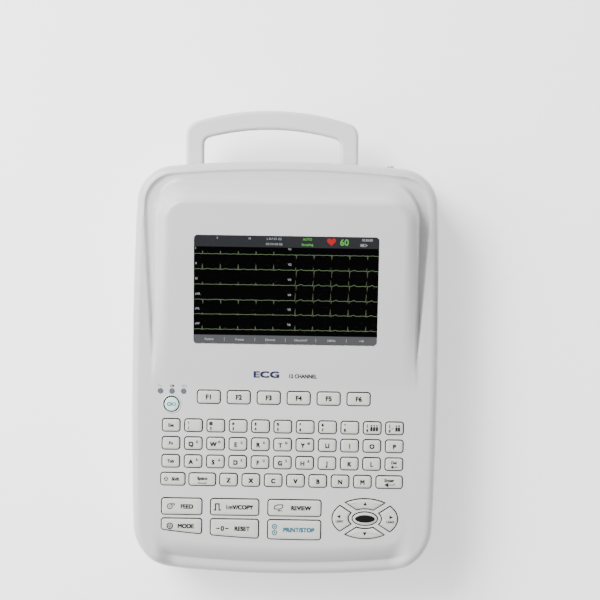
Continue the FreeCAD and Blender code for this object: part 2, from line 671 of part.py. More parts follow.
def screen_parts():
    under = "-(window_sunk)"
    glass = screen_block("0 - window_gap", under, "window_thick",
                         size("screen_corner") - size("window_gap"))
    piece("screen_window", on_hood(glass))
    panel_top = "-(max(window_sunk + window_thick; wall) + panel_gap)"
    panel = screen_block("panel_margin - frame_rim", panel_top, "panel_thick",
                         size("screen_corner"))
    piece("display_panel", on_hood(panel))
    rim = screen_block("panel_margin", f"{panel_top} - 0.6", "panel_thick + 1.4", 2.0)
    well = screen_block("panel_margin - frame_rim + 0.2", f"{panel_top} + 5",
                        "panel_thick + 5.2", 2.0)
    piece("display_frame", on_hood(cut(rim, well)))


# ----------------------------------------------------------------------- keypad pieces

def keypad():
    mat = span("keypad_left + 1", "keypad_right - 1", "keypad_low + 1", "keypad_high - 1",
               BOARD_TOP, MAT_TOP)
    lamp_notch = span("lamp_first - lamp_round - 1.5",
                      "lamp_first + 2 * lamp_pitch + lamp_round + 1.5",
                      "lamp_row - lamp_round - 1.5", "keypad_high + 2",
                      f"({BOARD_TOP} - 3)", f"({MAT_TOP} + 1)")
    piece("keypad_mat", cut(mat, lamp_notch))
    board = span("keypad_left", "keypad_right", "keypad_low", "keypad_high",
                 f"{BOARD_TOP} - board_thick", BOARD_TOP)
    piece("keypad_board", board)
    pipes = [rod(f"lamp_first + lamp_pitch * {n}", "lamp_row", f"{BOARD_TOP} + 0.2",
                 "lamp_round", f"deck_high + 0.3 - {BOARD_TOP} - 0.2") for n in range(3)]
    bar = span("lamp_first", "lamp_first + 2 * lamp_pitch", "lamp_row - lamp_bar / 2",
               "lamp_row + lamp_bar / 2", f"{BOARD_TOP} + 0.4", f"{BOARD_TOP} + 2.4")
    piece("light_pipes", join(bar, *pipes))
    for name, keys in letter_rows():
        piece(name, *[key_solid(key) for key in keys])
    for name, key in menu_keys() + work_keys():
        piece(name, key_solid(key))
    piece("power_key", power_key())
    for turn in ("up", "down", "left", "right"):
        piece(f"lead_{turn}_key", lead_key(turn))
    piece("lead_centre_key", lead_dot())


# --------------------------------------------------------------------------------- handle

def handle():
    """A bowed grip with two flat legs that run in the guide."""
    apex = f"({REAR} + handle_reach)"
    bow = "((handle_wide * handle_wide / 4 + handle_bow * handle_bow) / (2 * handle_bow))"
    blank = span("handle_at - handle_wide / 2", "handle_at + handle_wide / 2", LEG_IN,
                 f"{apex} + 1", "handle_low", HANDLE_TOP)
    crown = rod("handle_at", f"{apex} - {bow}", "handle_low - 1", bow, "handle_thick + 2")
    front_end = span("handle_at - handle_wide", "handle_at + handle_wide",
                     f"{LEG_IN} - 1", f"{apex} - 20", "handle_low - 1", f"{HANDLE_TOP} + 1")
    outer = common(blank, join(crown, front_end))
    inner_block = span("handle_at - handle_wide / 2 + leg_wide",
                       "handle_at + handle_wide / 2 - leg_wide", f"{LEG_IN} - 1", apex,
                       "handle_low - 1", f"{HANDLE_TOP} + 1")
    inner_crown = rod("handle_at", f"{apex} - {bow}", "handle_low - 2",
                      f"{bow} - grip_deep", "handle_thick + 4")
    inner_front = span("handle_at - handle_wide", "handle_at + handle_wide",
                       f"{LEG_IN} - 2", f"{apex} - grip_deep - 20", "handle_low - 2",
                       f"{HANDLE_TOP} + 2")
    hollow = common(inner_block, join(inner_crown, inner_front))
    bail = cut(outer, hollow)
    rear = size("body_long") / 2
    side = size("handle_wide") / 2
    at = size("handle_at")
    bail = rounded(bail, size("handle_outer"),
                   lambda e: upright(e) and e.CenterOfMass.y > rear
                   and abs(e.CenterOfMass.x - at) > side - 1)
    bail = rounded(bail, size("handle_inner"),
                   lambda e: upright(e) and e.CenterOfMass.y > rear + 2
                   and abs(abs(e.CenterOfMass.x - at) - side + size("leg_wide")) < 1)
    low = size("handle_low")
    high = low + size("handle_thick")
    bail = rounded(bail, size("handle_edge"),
                   lambda e: (at_height(low)(e) or at_height(high)(e)) and e.Length > 3
                   and e.CenterOfMass.y > size("body_long") / 2 - size("leg_inside") + 1)
    piece("carry_handle", bail)


def handle_guide():
    low = "(handle_low - handle_gap - guide_floor)"
    half = "(handle_wide / 2 + handle_gap + guide_rib)"
    floor = span(f"handle_at - {half}", f"handle_at + {half}", "guide_front",
                 "guide_back", low, f"{low} + guide_floor")
    mid_cut = span("handle_at - handle_wide / 2 + leg_wide + 8",
                   "handle_at + handle_wide / 2 - leg_wide - 8", "guide_front - 1",
                   "guide_front + 70", f"{low} - 1", f"{low} + 4")
    walls = []
    for side in ("-", "+"):
        outer = f"(handle_at {side} (handle_wide / 2 + handle_gap + guide_rib / 2))"
        walls.append(box(outer, "(guide_front + guide_back) / 2", low, "guide_rib",
                         "guide_back - guide_front", "guide_floor + handle_thick"))
        inner = (f"(handle_at {side} "
                 "(handle_wide / 2 - leg_wide - handle_gap - guide_rib / 2))")
        walls.append(box(inner, "(guide_front + guide_front + 82) / 2", low, "guide_rib",
                         "82", "guide_floor + handle_thick"))
    piece("handle_guide", join(cut(floor, mid_cut), *walls))


# --------------------------------------------------------------------------- drawer

TRAY_LOW = "(drawer_low + drawer_gap)"
TRAY_FRONT = "(drawer_front + 2)"
DOOR_IN = f"(door_thick - {RIGHT})"


def drawer(outer):
    door_zone = span(f"-{RIGHT} - 2", DOOR_IN, "drawer_front + drawer_gap",
                     "drawer_rear - drawer_gap", TRAY_LOW, "split_high - drawer_gap")
    door = common(outer, door_zone)
    grip = span(f"-{RIGHT} - 2", f"-{RIGHT} + 3.5", "(drawer_front + drawer_rear) / 2 - 30",
                "(drawer_front + drawer_rear) / 2 + 30", "drawer_low + 5",
                "drawer_low + 15")
    piece("drawer_front", cut(door, grip))
    block = span(DOOR_IN, "tray_right", TRAY_FRONT, TRAY_REAR, TRAY_LOW, "tray_high")
    space = span(f"{DOOR_IN} - 1", "tray_right - tray_wall", f"{TRAY_FRONT} + tray_wall",
                 f"{TRAY_REAR} - tray_wall", f"{TRAY_LOW} + tray_wall", "tray_high + 1")
    fence = span("platen_at + 10", "platen_at + 11.5", f"{TRAY_FRONT} + tray_wall - 0.5",
                 f"{TRAY_REAR} - tray_wall + 0.5", f"{TRAY_LOW} + tray_wall - 0.5",
                 "drawer_low + 14")
    catch = span("catch_at", "catch_at + 3", f"{TRAY_FRONT} - catch_deep",
                 f"{TRAY_FRONT} + 0.5", "lever_low - 1", "lever_low + lever_thick + 1")
    bores = [rod("platen_at", f"{TRAY_FRONT} - 1", "platen_high", "bush_round", "4", "Y"),
             rod("platen_at", f"{TRAY_REAR} - 3", "platen_high", "bush_round", "4", "Y")]
    ledge = span(DOOR_IN, "platen_at + 16", TRAY_FRONT, f"{TRAY_FRONT} + tray_wall",
                 "tray_high - 1", "platen_high + bush_round + 2.2")
    ledge_rear = span(DOOR_IN, "platen_at + 16", f"{TRAY_REAR} - tray_wall", TRAY_REAR,
                      "tray_high - 1", "platen_high + bush_round + 2.2")
    tray = join(cut(block, space), fence, catch, ledge, ledge_rear)
    piece("drawer_tray", cut(tray, group(*bores)))
    paper_right = "(tray_right - tray_wall - paper_gap)"
    middle = f"(({TRAY_FRONT} + {TRAY_REAR}) / 2)"
    pack = span(f"{paper_right} - paper_wide", paper_right, f"{middle} - paper_long / 2",
                f"{middle} + paper_long / 2", f"{TRAY_LOW} + tray_wall + 0.1",
                f"{TRAY_LOW} + tray_wall + 0.1 + paper_thick")
    piece("paper_pack", pack)


def wheel(label, teeth, bore, x, y, z, turn):
    """A spur wheel along Y: a disc, one tooth, its polar pattern and a bore."""
    body = DOC.addObject("PartDesign::Body", "Wheel")
    pitch = f"(gear_tooth * {teeth} / 2)"
    root = f"({pitch} - 1.25 * gear_tooth)"
    disc_sketch = circle_sketch(body, f"{root} + 0.05")
    disc = body.newObject("PartDesign::Pad", "Disc")
    disc.Profile = disc_sketch
    bind(disc, "Length", "gear_thick")
    tooth = outline([(f"{root} - 0.2", "-0.95 * gear_tooth"),
                     (f"{pitch} + gear_tooth", "-0.3 * gear_tooth"),
                     (f"{pitch} + gear_tooth", "0.3 * gear_tooth"),
                     (f"{root} - 0.2", "0.95 * gear_tooth")], "XY", body=body)
    rib = body.newObject("PartDesign::Pad", "Tooth")
    rib.Profile = tooth
    bind(rib, "Length", "gear_thick")
    DOC.recompute()
    pattern = body.newObject("PartDesign::PolarPattern", "Teeth")
    pattern.Originals = [rib]
    pattern.Axis = ([o for o in body.Origin.OriginFeatures if o.Role == "Z_Axis"][0], [""])
    pattern.Angle = 360
    pattern.Occurrences = int(size(teeth))
    body.Tip = pattern
    DOC.recompute()
    hole_sketch = circle_sketch(body, bore)
    hole = body.newObject("PartDesign::Pocket", "Bore")
    hole.Profile = hole_sketch
    hole.Type = "ThroughAll"
    hole.Reversed = True
    body.Tip = hole
    DOC.recompute()
    phase = FreeCAD.Rotation(FreeCAD.Vector(0, 0, 1), turn)
    body.Placement = FreeCAD.Placement(FreeCAD.Vector(), TURNS["Y"] * phase)
    for axis, value in zip("xyz", (x, y, z)):
        bind(body, f"Placement.Base.{axis}", value)
    DOC.recompute()
    piece(label, body)


def circle_sketch(body, radius):
    sketch = body.newObject("Sketcher::SketchObject", "Circle")
    side = [o for o in body.Origin.OriginFeatures if o.Role == "XY_Plane"][0]
    sketch.AttachmentSupport = [(side, "")]
    sketch.MapMode = "FlatFace"
    sketch.addGeometry(Part.Circle(FreeCAD.Vector(), FreeCAD.Vector(0, 0, 1), 2.0), False)
    sketch.addConstraint(Sketcher.Constraint("Coincident", 0, 3, -1, 1))
    number = sketch.addConstraint(Sketcher.Constraint("Radius", 0, 2.0))
    bind(sketch, f"Constraints[{number}]", radius)
    DOC.recompute()
    return sketch


def printer():
    inner_front = f"({TRAY_FRONT} + tray_wall + 0.8)"
    inner_rear = f"({TRAY_REAR} - tray_wall - 0.8)"
    roller = rod("platen_at", inner_front, "platen_high", "platen_round",
                 f"{inner_rear} - {inner_front}", "Y")
    core = rod("platen_at", f"{inner_front} - 1", "platen_high", "core_round",
               f"{inner_rear} - {inner_front} + 2", "Y")
    piece("platen_roller", cut(roller, core))
    shaft_rear = f"({GEAR_Y} + gear_thick)"
    shaft = rod("platen_at", f"{TRAY_FRONT} - 1", "platen_high", "core_round",
                f"{shaft_rear} - {TRAY_FRONT} + 1", "Y")
    piece("platen_shaft", shaft)
    bushes = []
    for wall_y, flange_y in ((TRAY_FRONT, f"({TRAY_FRONT} - 0.6)"),
                             (f"({TRAY_REAR} - tray_wall)", TRAY_REAR)):
        sleeve = rod("platen_at", wall_y, "platen_high", "bush_round", "tray_wall", "Y")
        flange = rod("platen_at", flange_y, "platen_high", "bush_flange", "0.6", "Y")
        bore = rod("platen_at", f"{wall_y} - 2", "platen_high", "core_round + bore_gap",
                   "8", "Y")
        bushes.append(cut(join(sleeve, flange), bore))
    piece("platen_bushes", *bushes)
    wheel("platen_gear", "platen_teeth", "core_round", "platen_at", GEAR_Y,
          "platen_high", 0)
    wheel("idler_gear", "idler_teeth", "idler_pin + bore_gap", IDLER_X, GEAR_Y,
          "platen_high", 180.0 / size("idler_teeth"))
    wheel("motor_pinion", "pinion_teeth", "motor_pin", MOTOR_X, GEAR_Y, MOTOR_Z,
          -180.0 + size("pinion_angle"))
    motor_y = f"({GEAR_Y} + gear_thick + 3.4)"
    can = rod(MOTOR_X, motor_y, MOTOR_Z, "motor_round", "motor_long", "Y")
    nose = rod(MOTOR_X, f"{motor_y} - 1.6", MOTOR_Z, "4.0", "2.0", "Y")
    pin = rod(MOTOR_X, f"{GEAR_Y} + gear_thick + 0.2", MOTOR_Z, "motor_pin", "6", "Y")
    piece("feed_motor", join(can, nose, pin))
    head_low = "(platen_high + platen_round + head_gap)"
    head = span("platen_at - head_wide / 2", "platen_at + head_wide / 2", inner_front,
                inner_rear, head_low, f"{head_low} + head_thick")
    nib = rod("platen_at", inner_front, f"{head_low} + 0.3", "0.3",
              f"{inner_rear} - {inner_front}", "Y")
    fin = span("platen_at - 1", "platen_at + head_wide / 2 - 0.5", f"{inner_front} + 8",
               f"{inner_rear} - 8", f"{head_low} + head_thick - 0.5",
               f"{head_low} + head_thick + 1")
    piece("print_head", join(head, nib, fin))
    leaf_low = f"({head_low} + head_thick)"
    leaves = []
    for share in (0.15, 0.5, 0.85):
        y = f"({inner_front} + ({inner_rear} - {inner_front}) * {share})"
        ring = [("-4", "0"), ("-3.4", "0"), ("0", "spring_high - 0.5"), ("3.4", "0"),
                ("4", "0"), ("0.3", "spring_high"), ("-0.3", "spring_high")]
        flat = outline(ring, "XZ", x="platen_at", y=f"{y} + 4", z=f"{leaf_low} + 1")
        leaves.append(extrude(flat, "8", (0, -1, 0)))
    piece("head_springs", *leaves)
    bracket_low = f"({leaf_low} + 1 + spring_high)"
    bracket = span("platen_at - bracket_wide / 2", "plate_left", f"{inner_front} - 2",
                   f"{inner_rear} + 2", bracket_low, f"{bracket_low} + bracket_thick")
    lip = span("platen_at - bracket_wide / 2", "platen_at - bracket_wide / 2 + bracket_thick",
               f"{inner_front} - 2", f"{inner_rear} + 2", f"{leaf_low} - 1",
               f"{bracket_low} + bracket_thick")
    web = span("plate_left - bracket_thick", "plate_left", f"{inner_front} - 2",
               "guide_front - 6", "plate_low + plate_thick",
               f"{bracket_low} + bracket_thick")
    foot = span("plate_left - bracket_thick", "plate_left + 8", f"{inner_front} - 2",
                "guide_front - 6", "plate_low + plate_thick",
                "plate_low + plate_thick + bracket_thick")
    piece("head_bracket", join(bracket, lip, web, foot))


# --------------------------------------------------------------------- drawer release

def release():
    depth = "(side_bow - sqrt(side_bow * side_bow - button_at * button_at))"
    skin = f"({depth} - {RIGHT})"
    y0 = "(button_at - button_long / 2)"
    y1 = "(button_at + button_long / 2)"
    z0 = "(button_high - button_tall / 2)"
    z1 = "(button_high + button_tall / 2)"
    cap = span(f"{skin} - button_proud", f"{skin} + wall + 1.2", y0, y1, z0, z1)
    near = size("body_wide") / 2 - 1
    cap = rounded(cap, 1.2, lambda e: e.CenterOfMass.x < -near + 2 and e.Length > 1
                  and e.BoundBox.XLength < 0.01)
    flange = span(f"{skin} + wall + 0.4", f"{skin} + wall + 1.6", f"{y0} - 1.5",
                  f"{y1} + 1.5", f"{z0} - 1.5", f"{z1} + 1.5")
    plunger = span(f"{skin} + wall + 1", "plunger_end", "lever_back - lever_arm - 2",
                   "lever_back - lever_arm + 2", "lever_low", "lever_low + lever_thick")
    piece("release_button", join(cap, flange, plunger))
    hub = rod("lever_at", "lever_back", "lever_low", "pivot_round + 2", "lever_thick")
    arm = span("lever_at - lever_wide / 2", "lever_at + lever_wide / 2",
               "lever_back - lever_arm - 2", "lever_back", "lever_low",
               "lever_low + lever_thick")
    hook_edge = f"({TRAY_FRONT} - catch_deep - hook_gap)"
    jaw = span("catch_at - 5.2", "catch_at - 1.2", "lever_back", hook_edge, "lever_low",
               "lever_low + lever_thick")
    reach = span("catch_at - 5.2", "lever_at", "lever_back - 2", "lever_back + 2",
                 "lever_low", "lever_low + lever_thick")
    bore = rod("lever_at", "lever_back", "lever_low - 1", "pivot_round + bore_gap",
               "lever_thick + 2")
    piece("latch_lever", cut(join(hub, arm, reach, jaw), bore))


# ------------------------------------------------------------------- plates and boards

def inside():
    plate = span("plate_left", "plate_right", "plate_front", "guide_front - 4",
                 "plate_low", "plate_low + plate_thick")
    flange = span("plate_left", "plate_right", "plate_front", "plate_front + plate_thick",
                  "plate_low", "plate_low + 8")
    windows = [box(x, "-40", "plate_low - 1", "36", "46", "4") for x in (-40, 10)]
    piece("chassis_plate", cut(join(plate, flange), group(*windows)))
    posts = [rod(x, y, "plate_low + plate_thick", "post_round",
                 "main_low - plate_low - plate_thick")
             for x in (-80, 36) for y in (-96, 44)]
    board = span("-86", "42", "-102", "50", "main_low", "main_low + board_thick")
    chips = [box(x, y, "main_low + board_thick - 0.2", wide, deep, high)
             for x, y, wide, deep, high in ((-50, -20, 24, 24, 2.4), (-10, -22, 16, 22, 1.6),
                                            (18, 10, 12, 18, 2.0), (-60, 30, 30, 8, 6.0),
                                            (30, -70, 8, 40, 6.0), (-20, -84, 36, 8, 6.0))]
    piece("main_board", join(board, *posts, *chips))
    amp_low = f"({FLOOR} + battery_high + 4)"
    amp = box("battery_at", "battery_row", amp_low, "battery_wide", "battery_long - 8",
              "board_thick")
    can = pad("battery_at", "battery_row + 14", f"{amp_low} + board_thick - 0.2", "38",
              "52", "5", 1.5)
    header = box("battery_at", "battery_row - 32", f"{amp_low} + board_thick - 0.2", "30",
                 "8", "6")
    piece("ecg_amplifier", join(amp, can, header))
    cells = pad("battery_at", "battery_row", f"{FLOOR} + 1", "battery_wide",
                "battery_long", "battery_high", 3.0)
    piece("battery_pack", cells)
    lid = pad("battery_at", "battery_row", "foot_high",
              f"{HATCH_WIDE} - 2 * battery_gap", f"{HATCH_LONG} - 2 * battery_gap",
              "wall", 2.0)
    grip = box("battery_at", "battery_row - battery_long / 2 + 8", "foot_high - 1", "24",
               "6", "2.2")
    piece("battery_cover", cut(lid, grip))
    supply_low = f"({FLOOR} + 3)"
    base = box("supply_at", "supply_row", supply_low, "supply_wide", "supply_long",
               "board_thick")
    coil = box("supply_at - 4", "supply_row + 6", f"{supply_low} + board_thick - 0.2",
               "26", "24", "18")
    caps = [rod(f"supply_at + {x}", f"supply_row + {y}",
                f"{supply_low} + board_thick - 0.2", r, h)
            for x, y, r, h in ((-8, 36, 8, 18), (10, 36, 5, 14), (-10, -20, 5, 16),
                               (4, -20, 5, 16))]
    sink = box("supply_at + 14", "supply_row - 6", f"{supply_low} + board_thick - 0.2",
               "3", "44", "20")
    legs = [rod(f"supply_at + {x}", f"supply_row + {y}", f"{FLOOR}", "post_round", "3.5")
            for x in (-17, 17) for y in (-47, 47)]
    piece("power_supply", join(base, coil, sink, *caps, *legs))
    basket = rod("speaker_at", "speaker_row", FLOOR, "speaker_round", "speaker_deep * 0.4")
    magnet = rod("speaker_at", "speaker_row", f"{FLOOR} + speaker_deep * 0.4 - 0.1",
                 "speaker_round * 0.5", "speaker_deep * 0.6")
    dish = rod("speaker_at", "speaker_row", f"{FLOOR} - 0.1", "speaker_round * 0.82",
               "speaker_deep * 0.2")
    piece("speaker", cut(join(basket, magnet), dish))


# -------------------------------------------------------------------------- connectors

def mains_inlet():
    skin = f"({REAR} - end_bow + sqrt(end_bow * end_bow - inlet_at * inlet_at))"
    face = f"({skin} - 0.6)"
    y_mid = f"({face} - inlet_deep / 2)"
    low = "(inlet_high - inlet_tall / 2)"
    case = pad_y("inlet_at", y_mid, "inlet_high", "inlet_wide", "inlet_deep",
                 "inlet_tall", 2.0)
    well = box("inlet_at", f"{face} - inlet_well / 2 + 1", f"{low} + 2.1",
               "inlet_wide - 3.6", "inlet_well + 2", "inlet_tall - 4.2")
    flange = box("inlet_at", f"{skin} - 8.5", f"{low} - 3", "inlet_wide + 8", "2",
                 "inlet_tall + 6")
    pins = [box(f"inlet_at + {x}", f"{face} - inlet_well / 2 - 1", f"inlet_high + {z}",
                "2", "inlet_well - 1", "4") for x, z in ((-7, -4), (0, 0), (7, -4))]
    piece("mains_inlet", join(cut(join(case, flange), well), *pins))
    stud_skin = f"({REAR} - end_bow + sqrt(end_bow * end_bow - stud_at * stud_at))"
    pin = rod("stud_at", f"{stud_skin} - 14", "inlet_high", "stud_round",
              "14 + stud_out", "Y")
    nut = rod("stud_at", f"{stud_skin} - wall - 2.9", "inlet_high", "stud_round + 3",
              "2.2", "Y")
    piece("ground_stud", join(pin, nut))


def pad_y(x, y, z, wide, deep, tall, corner):
    """A block centred on z with the edges along Y rounded."""
    block = box(x, y, f"({z} - {tall} / 2)", wide, deep, tall)
    return rounded(block, corner, lambda e: e.BoundBox.YLength > 5)


def side_sockets():
    bow = "(side_bow - sqrt(side_bow * side_bow - socket_row * socket_row))"
    face = f"({RIGHT} - {bow} - 0.8)"
    low = "(socket_high - socket_tall / 2)"
    flange = box(f"{face} - 0.6", "socket_row", low, "1.2", "socket_flange",
                 "socket_tall")
    rear = box(f"{face} - 5.8", "socket_row", "socket_high - shell_tall / 2 - 1",
               "10", "socket_shell + 4", "shell_tall + 2")
    shell = box(f"{face} - 0.9", "socket_row", "socket_high - shell_tall / 2", "1.8",
                "socket_shell", "shell_tall")
    contacts = []
    for row, count in ((1, 8), (-1, 7)):
        for n in range(count):
            y = f"(socket_row + 2.76 * {n - (count - 1) / 2})"
            contacts.append(rod(f"{face} - 4", y, f"socket_high + {row} * 1.42", "0.5",
                                "8", "X"))
    jacks = [rod(f"{face} - 9", f"socket_row + {s} * screw_space / 2", "socket_high",
                 "2.6", "9.7", "X") for s in (-1, 1)]
    bores = [rod(f"{face} - 10", f"socket_row + {s} * screw_space / 2", "socket_high",
                 "jack_bore", "14", "X") for s in (-1, 1)]
    block = join(flange, rear, shell, *jacks)
    piece("patient_socket", cut(block, group(*contacts, *bores)))
    board = box(f"{RIGHT} - 20", "port_row", "port_high", "26", "68", "board_thick")
    solids = [board]
    hollows = []
    for y, wide, high in PORTS:
        at = f"(port_row + {y})"
        solids.append(box(f"{RIGHT} - 12", at, "port_high + board_thick - 0.1",
                          "18", wide, f"{high} + 0.1"))
        hollows.append(box(f"{RIGHT} - 7", at, "port_high + board_thick + 1",
                           "12", f"{wide} - 2", f"{high} - 2"))
    tongues = [box(f"{RIGHT} - 10.5", f"port_row + {y}",
                   f"port_high + board_thick + {high} * 0.45", "12", f"{wide} - 4", "1.8")
               for y, wide, high in PORTS[:2]]
    piece("port_board", join(cut(join(*solids), group(*hollows)), *tongues))


# -------------------------------------------------------------------------------- model

def build():
    fill_sheet()
    outer, upper, lower = housing()
    top_cover(upper)
    bottom_cover(lower)
    feet_and_screws()
    screen_parts()
    keypad()
    handle()
    handle_guide()
    drawer(outer)
    printer()
    release()
    inside()
    mains_inlet()
    side_sockets()
    DOC.recompute()


def check():
    for thing in DOC.Objects:
        if {"Invalid", "Error"} & set(thing.State):
            raise RuntimeError(f"{thing.Name} ({thing.Label}) failed: {thing.State}")
    for made in PIECES:
        if made.Shape.isNull() or not made.Shape.isValid() or made.Shape.Volume <= 0:
            raise RuntimeError(f"{made.Label} has no valid shape")


build()
check()
os.makedirs("parts", exist_ok=True)
for made in PIECES:
    made.Shape.exportStep(f"parts/{made.Label}.step")
print(len(PIECES), "pieces")
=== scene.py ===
"""Portable twelve-channel ECG machine: its looks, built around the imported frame."""

import json
import math

import bmesh
import bpy
from bpy.props import FloatProperty, FloatVectorProperty, PointerProperty
from mathutils import Matrix, Vector

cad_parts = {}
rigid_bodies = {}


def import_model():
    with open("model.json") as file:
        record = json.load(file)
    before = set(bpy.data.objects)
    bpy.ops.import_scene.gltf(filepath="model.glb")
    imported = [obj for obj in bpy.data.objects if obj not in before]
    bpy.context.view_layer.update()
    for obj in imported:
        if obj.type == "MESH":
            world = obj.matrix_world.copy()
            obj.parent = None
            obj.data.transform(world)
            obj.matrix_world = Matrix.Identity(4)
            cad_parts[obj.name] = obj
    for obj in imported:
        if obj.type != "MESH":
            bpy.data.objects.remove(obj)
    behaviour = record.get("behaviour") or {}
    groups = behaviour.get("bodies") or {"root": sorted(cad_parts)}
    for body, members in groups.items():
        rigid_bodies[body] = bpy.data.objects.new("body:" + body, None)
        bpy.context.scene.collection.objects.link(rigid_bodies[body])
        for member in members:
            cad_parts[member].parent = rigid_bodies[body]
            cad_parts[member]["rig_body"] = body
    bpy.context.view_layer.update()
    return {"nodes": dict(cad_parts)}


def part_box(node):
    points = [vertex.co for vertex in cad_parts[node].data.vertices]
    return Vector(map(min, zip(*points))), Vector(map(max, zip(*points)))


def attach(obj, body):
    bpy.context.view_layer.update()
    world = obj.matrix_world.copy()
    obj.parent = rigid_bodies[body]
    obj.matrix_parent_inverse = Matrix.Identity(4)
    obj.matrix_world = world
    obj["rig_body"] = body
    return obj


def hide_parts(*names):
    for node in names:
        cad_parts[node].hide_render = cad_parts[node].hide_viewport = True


bl_info = {
    "name": "Portable ECG machine",
    "version": (1, 0, 0),
    "blender": (4, 5, 0),
    "location": "View3D > Sidebar > ECG machine",
    "description": "Builds the cover, keys, screen and finishes of a portable ECG machine",
    "category": "Object",
}

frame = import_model()
COVER_LOW, COVER_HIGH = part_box("top_cover")
MIDDLE = Vector((0.0, (COVER_LOW.y + COVER_HIGH.y) / 2, 0.0))
MM = 0.001
GLYPH_THICK = 0.00003
FINISHES = {}


# ---------------------------------------------------------------------------- settings

def length(name, description, default):
    return FloatProperty(name=name, description=description, default=default,
                         subtype="DISTANCE", unit="LENGTH", precision=5)


def colour(name, description, default):
    return FloatVectorProperty(name=name, description=description, default=default,
                               subtype="COLOR", size=3, min=0.0, max=1.0)


class ECG_PG_cover(bpy.types.PropertyGroup):
    """Sizes of the moulded top cover."""

    wide: length("Width", "Across the housing", COVER_HIGH.x - COVER_LOW.x)
    long: length("Length", "Front to rear, without the handle", COVER_HIGH.y - COVER_LOW.y)
    end_bow: length("End bow", "Radius of the bowed front and rear edges", 1.0)
    side_bow: length("Side bow", "Radius of the bowed sides", 3.8)
    rear_corner: length("Rear corner", "Plan radius of the two rear corners", 0.032)
    front_corner: length("Front corner", "Plan radius of the two front corners", 0.040)
    split: length("Split height", "Height where the two covers meet", COVER_LOW.z)
    deck: length("Deck height", "Height of the flat keyboard deck", 0.064)
    crest: length("Crest height", "Height of the hood's rear crest", COVER_HIGH.z)
    wall: length("Wall", "Thickness of the moulded wall", 0.0026)
    roll: length("Edge roll", "Radius where the deck turns into the sides", 0.0066)
    hood_half: length("Hood half width", "From the middle to the hood's side", 0.109)
    hood_front: length("Hood front", "Where the hood starts to rise", -0.015)
    hood_run: length("Hood run", "Length of the rising plane", 0.155)
    hood_corner: length("Hood corner", "Plan radius of the hood's flat top", 0.014)
    side_bevel: length("Side bevel", "Width of the bevel along the hood's sides", 0.0115)
    rear_bevel: length("Rear bevel", "Width of the slope behind the hood", 0.017)
    rail_front: length("Rail at front", "Width of the side rail where the channel starts", 0.020)
    rail_rear: length("Rail at rear", "Width of the side rail at the rear", 0.0072)
    channel: length("Channel depth", "Depth of the channels beside the hood", 0.0034)
    step_start: length("Step start", "Where the front slope begins, from the front edge", 0.0262)
    step_end: length("Step end", "Where the front slope ends, from the front edge", 0.0112)
    step_drop: length("Step drop", "How far the front slope falls", 0.008)
    step_half: length("Step half width", "From the middle to where the slope fades", 0.108)


class ECG_PG_keys(bpy.types.PropertyGroup):
    """Sizes of the rubber keys and their printing."""

    gap: length("Gap", "Clearance between a key and its hole", 0.00068)
    shoulder: length("Shoulder", "Radius of the rolled edge of a key", 0.0009)
    dome: length("Dome", "How far the top of a key stands above its shoulder", 0.00035)
    letter: length("Letter height", "Height of a capital on a letter key", 0.0036)
    word: length("Word height", "Height of a capital on a word key", 0.0026)
    work: length("Work legend", "Height of a capital on a work key", 0.0034)


class ECG_PG_finish(bpy.types.PropertyGroup):
    """Colours of the finishes."""

    housing: colour("Housing", "Moulded housing plastic", (0.50, 0.50, 0.50))
    handle: colour("Handle", "Handle plastic", (0.56, 0.56, 0.56))
    key: colour("Keys", "Warm grey silicone rubber", (0.47, 0.48, 0.44))
    ink: colour("Ink", "Printed legends", (0.012, 0.013, 0.014))
    teal: colour("Teal ink", "Legends of the print and power keys", (0.012, 0.10, 0.145))
    power: colour("Power key", "Pale blue-green silicone", (0.50, 0.66, 0.66))
    lamp: colour("Lamp", "Unlit indicator lens", (0.075, 0.085, 0.105))
    trace: colour("Trace", "ECG traces on the screen", (0.36, 0.50, 0.27))
    mark: colour("Name mark", "Generic mark on the foot of the hood", (0.014, 0.016, 0.05))


class ECG_PG_stage(bpy.types.PropertyGroup):
    """Camera and studio sizes."""

    aim_x: length("Aim across", "Where the camera looks, across", 0.0118)
    aim_y: length("Aim along", "Where the camera looks, along", 0.0381)
    away: length("Distance", "From the camera to the deck", 1.5)
    seen: length("Seen width", "Width of the view at the deck", 0.504)
    floor: length("Floor", "Width of the floor", 9.0)
    pitch: FloatProperty(name="Pitch", description="How far the camera leans to the rear",
                         default=math.radians(3.0), subtype="ANGLE", unit="ROTATION")
    turn: FloatProperty(name="Turn", description="How far the camera is rolled",
                        default=math.radians(0.9), subtype="ANGLE", unit="ROTATION")


# ---------------------------------------------------------------------- mesh utilities

def make_object(name, vertices, faces):
    mesh = bpy.data.meshes.new(name)
    mesh.from_pydata([tuple(v) for v in vertices], [], faces)
    mesh.validate()
    mesh.update()
    made = bpy.data.objects.new(name, mesh)
    bpy.context.scene.collection.objects.link(made)
    return made


def smooth(made, degrees=35.0):
    """Smooth shading, with edges sharper than the angle kept crisp."""
    mesh = made.data
    mesh.polygons.foreach_set("use_smooth", [True] * len(mesh.polygons))
    mesh.set_sharp_from_angle(angle=math.radians(degrees))
    return made


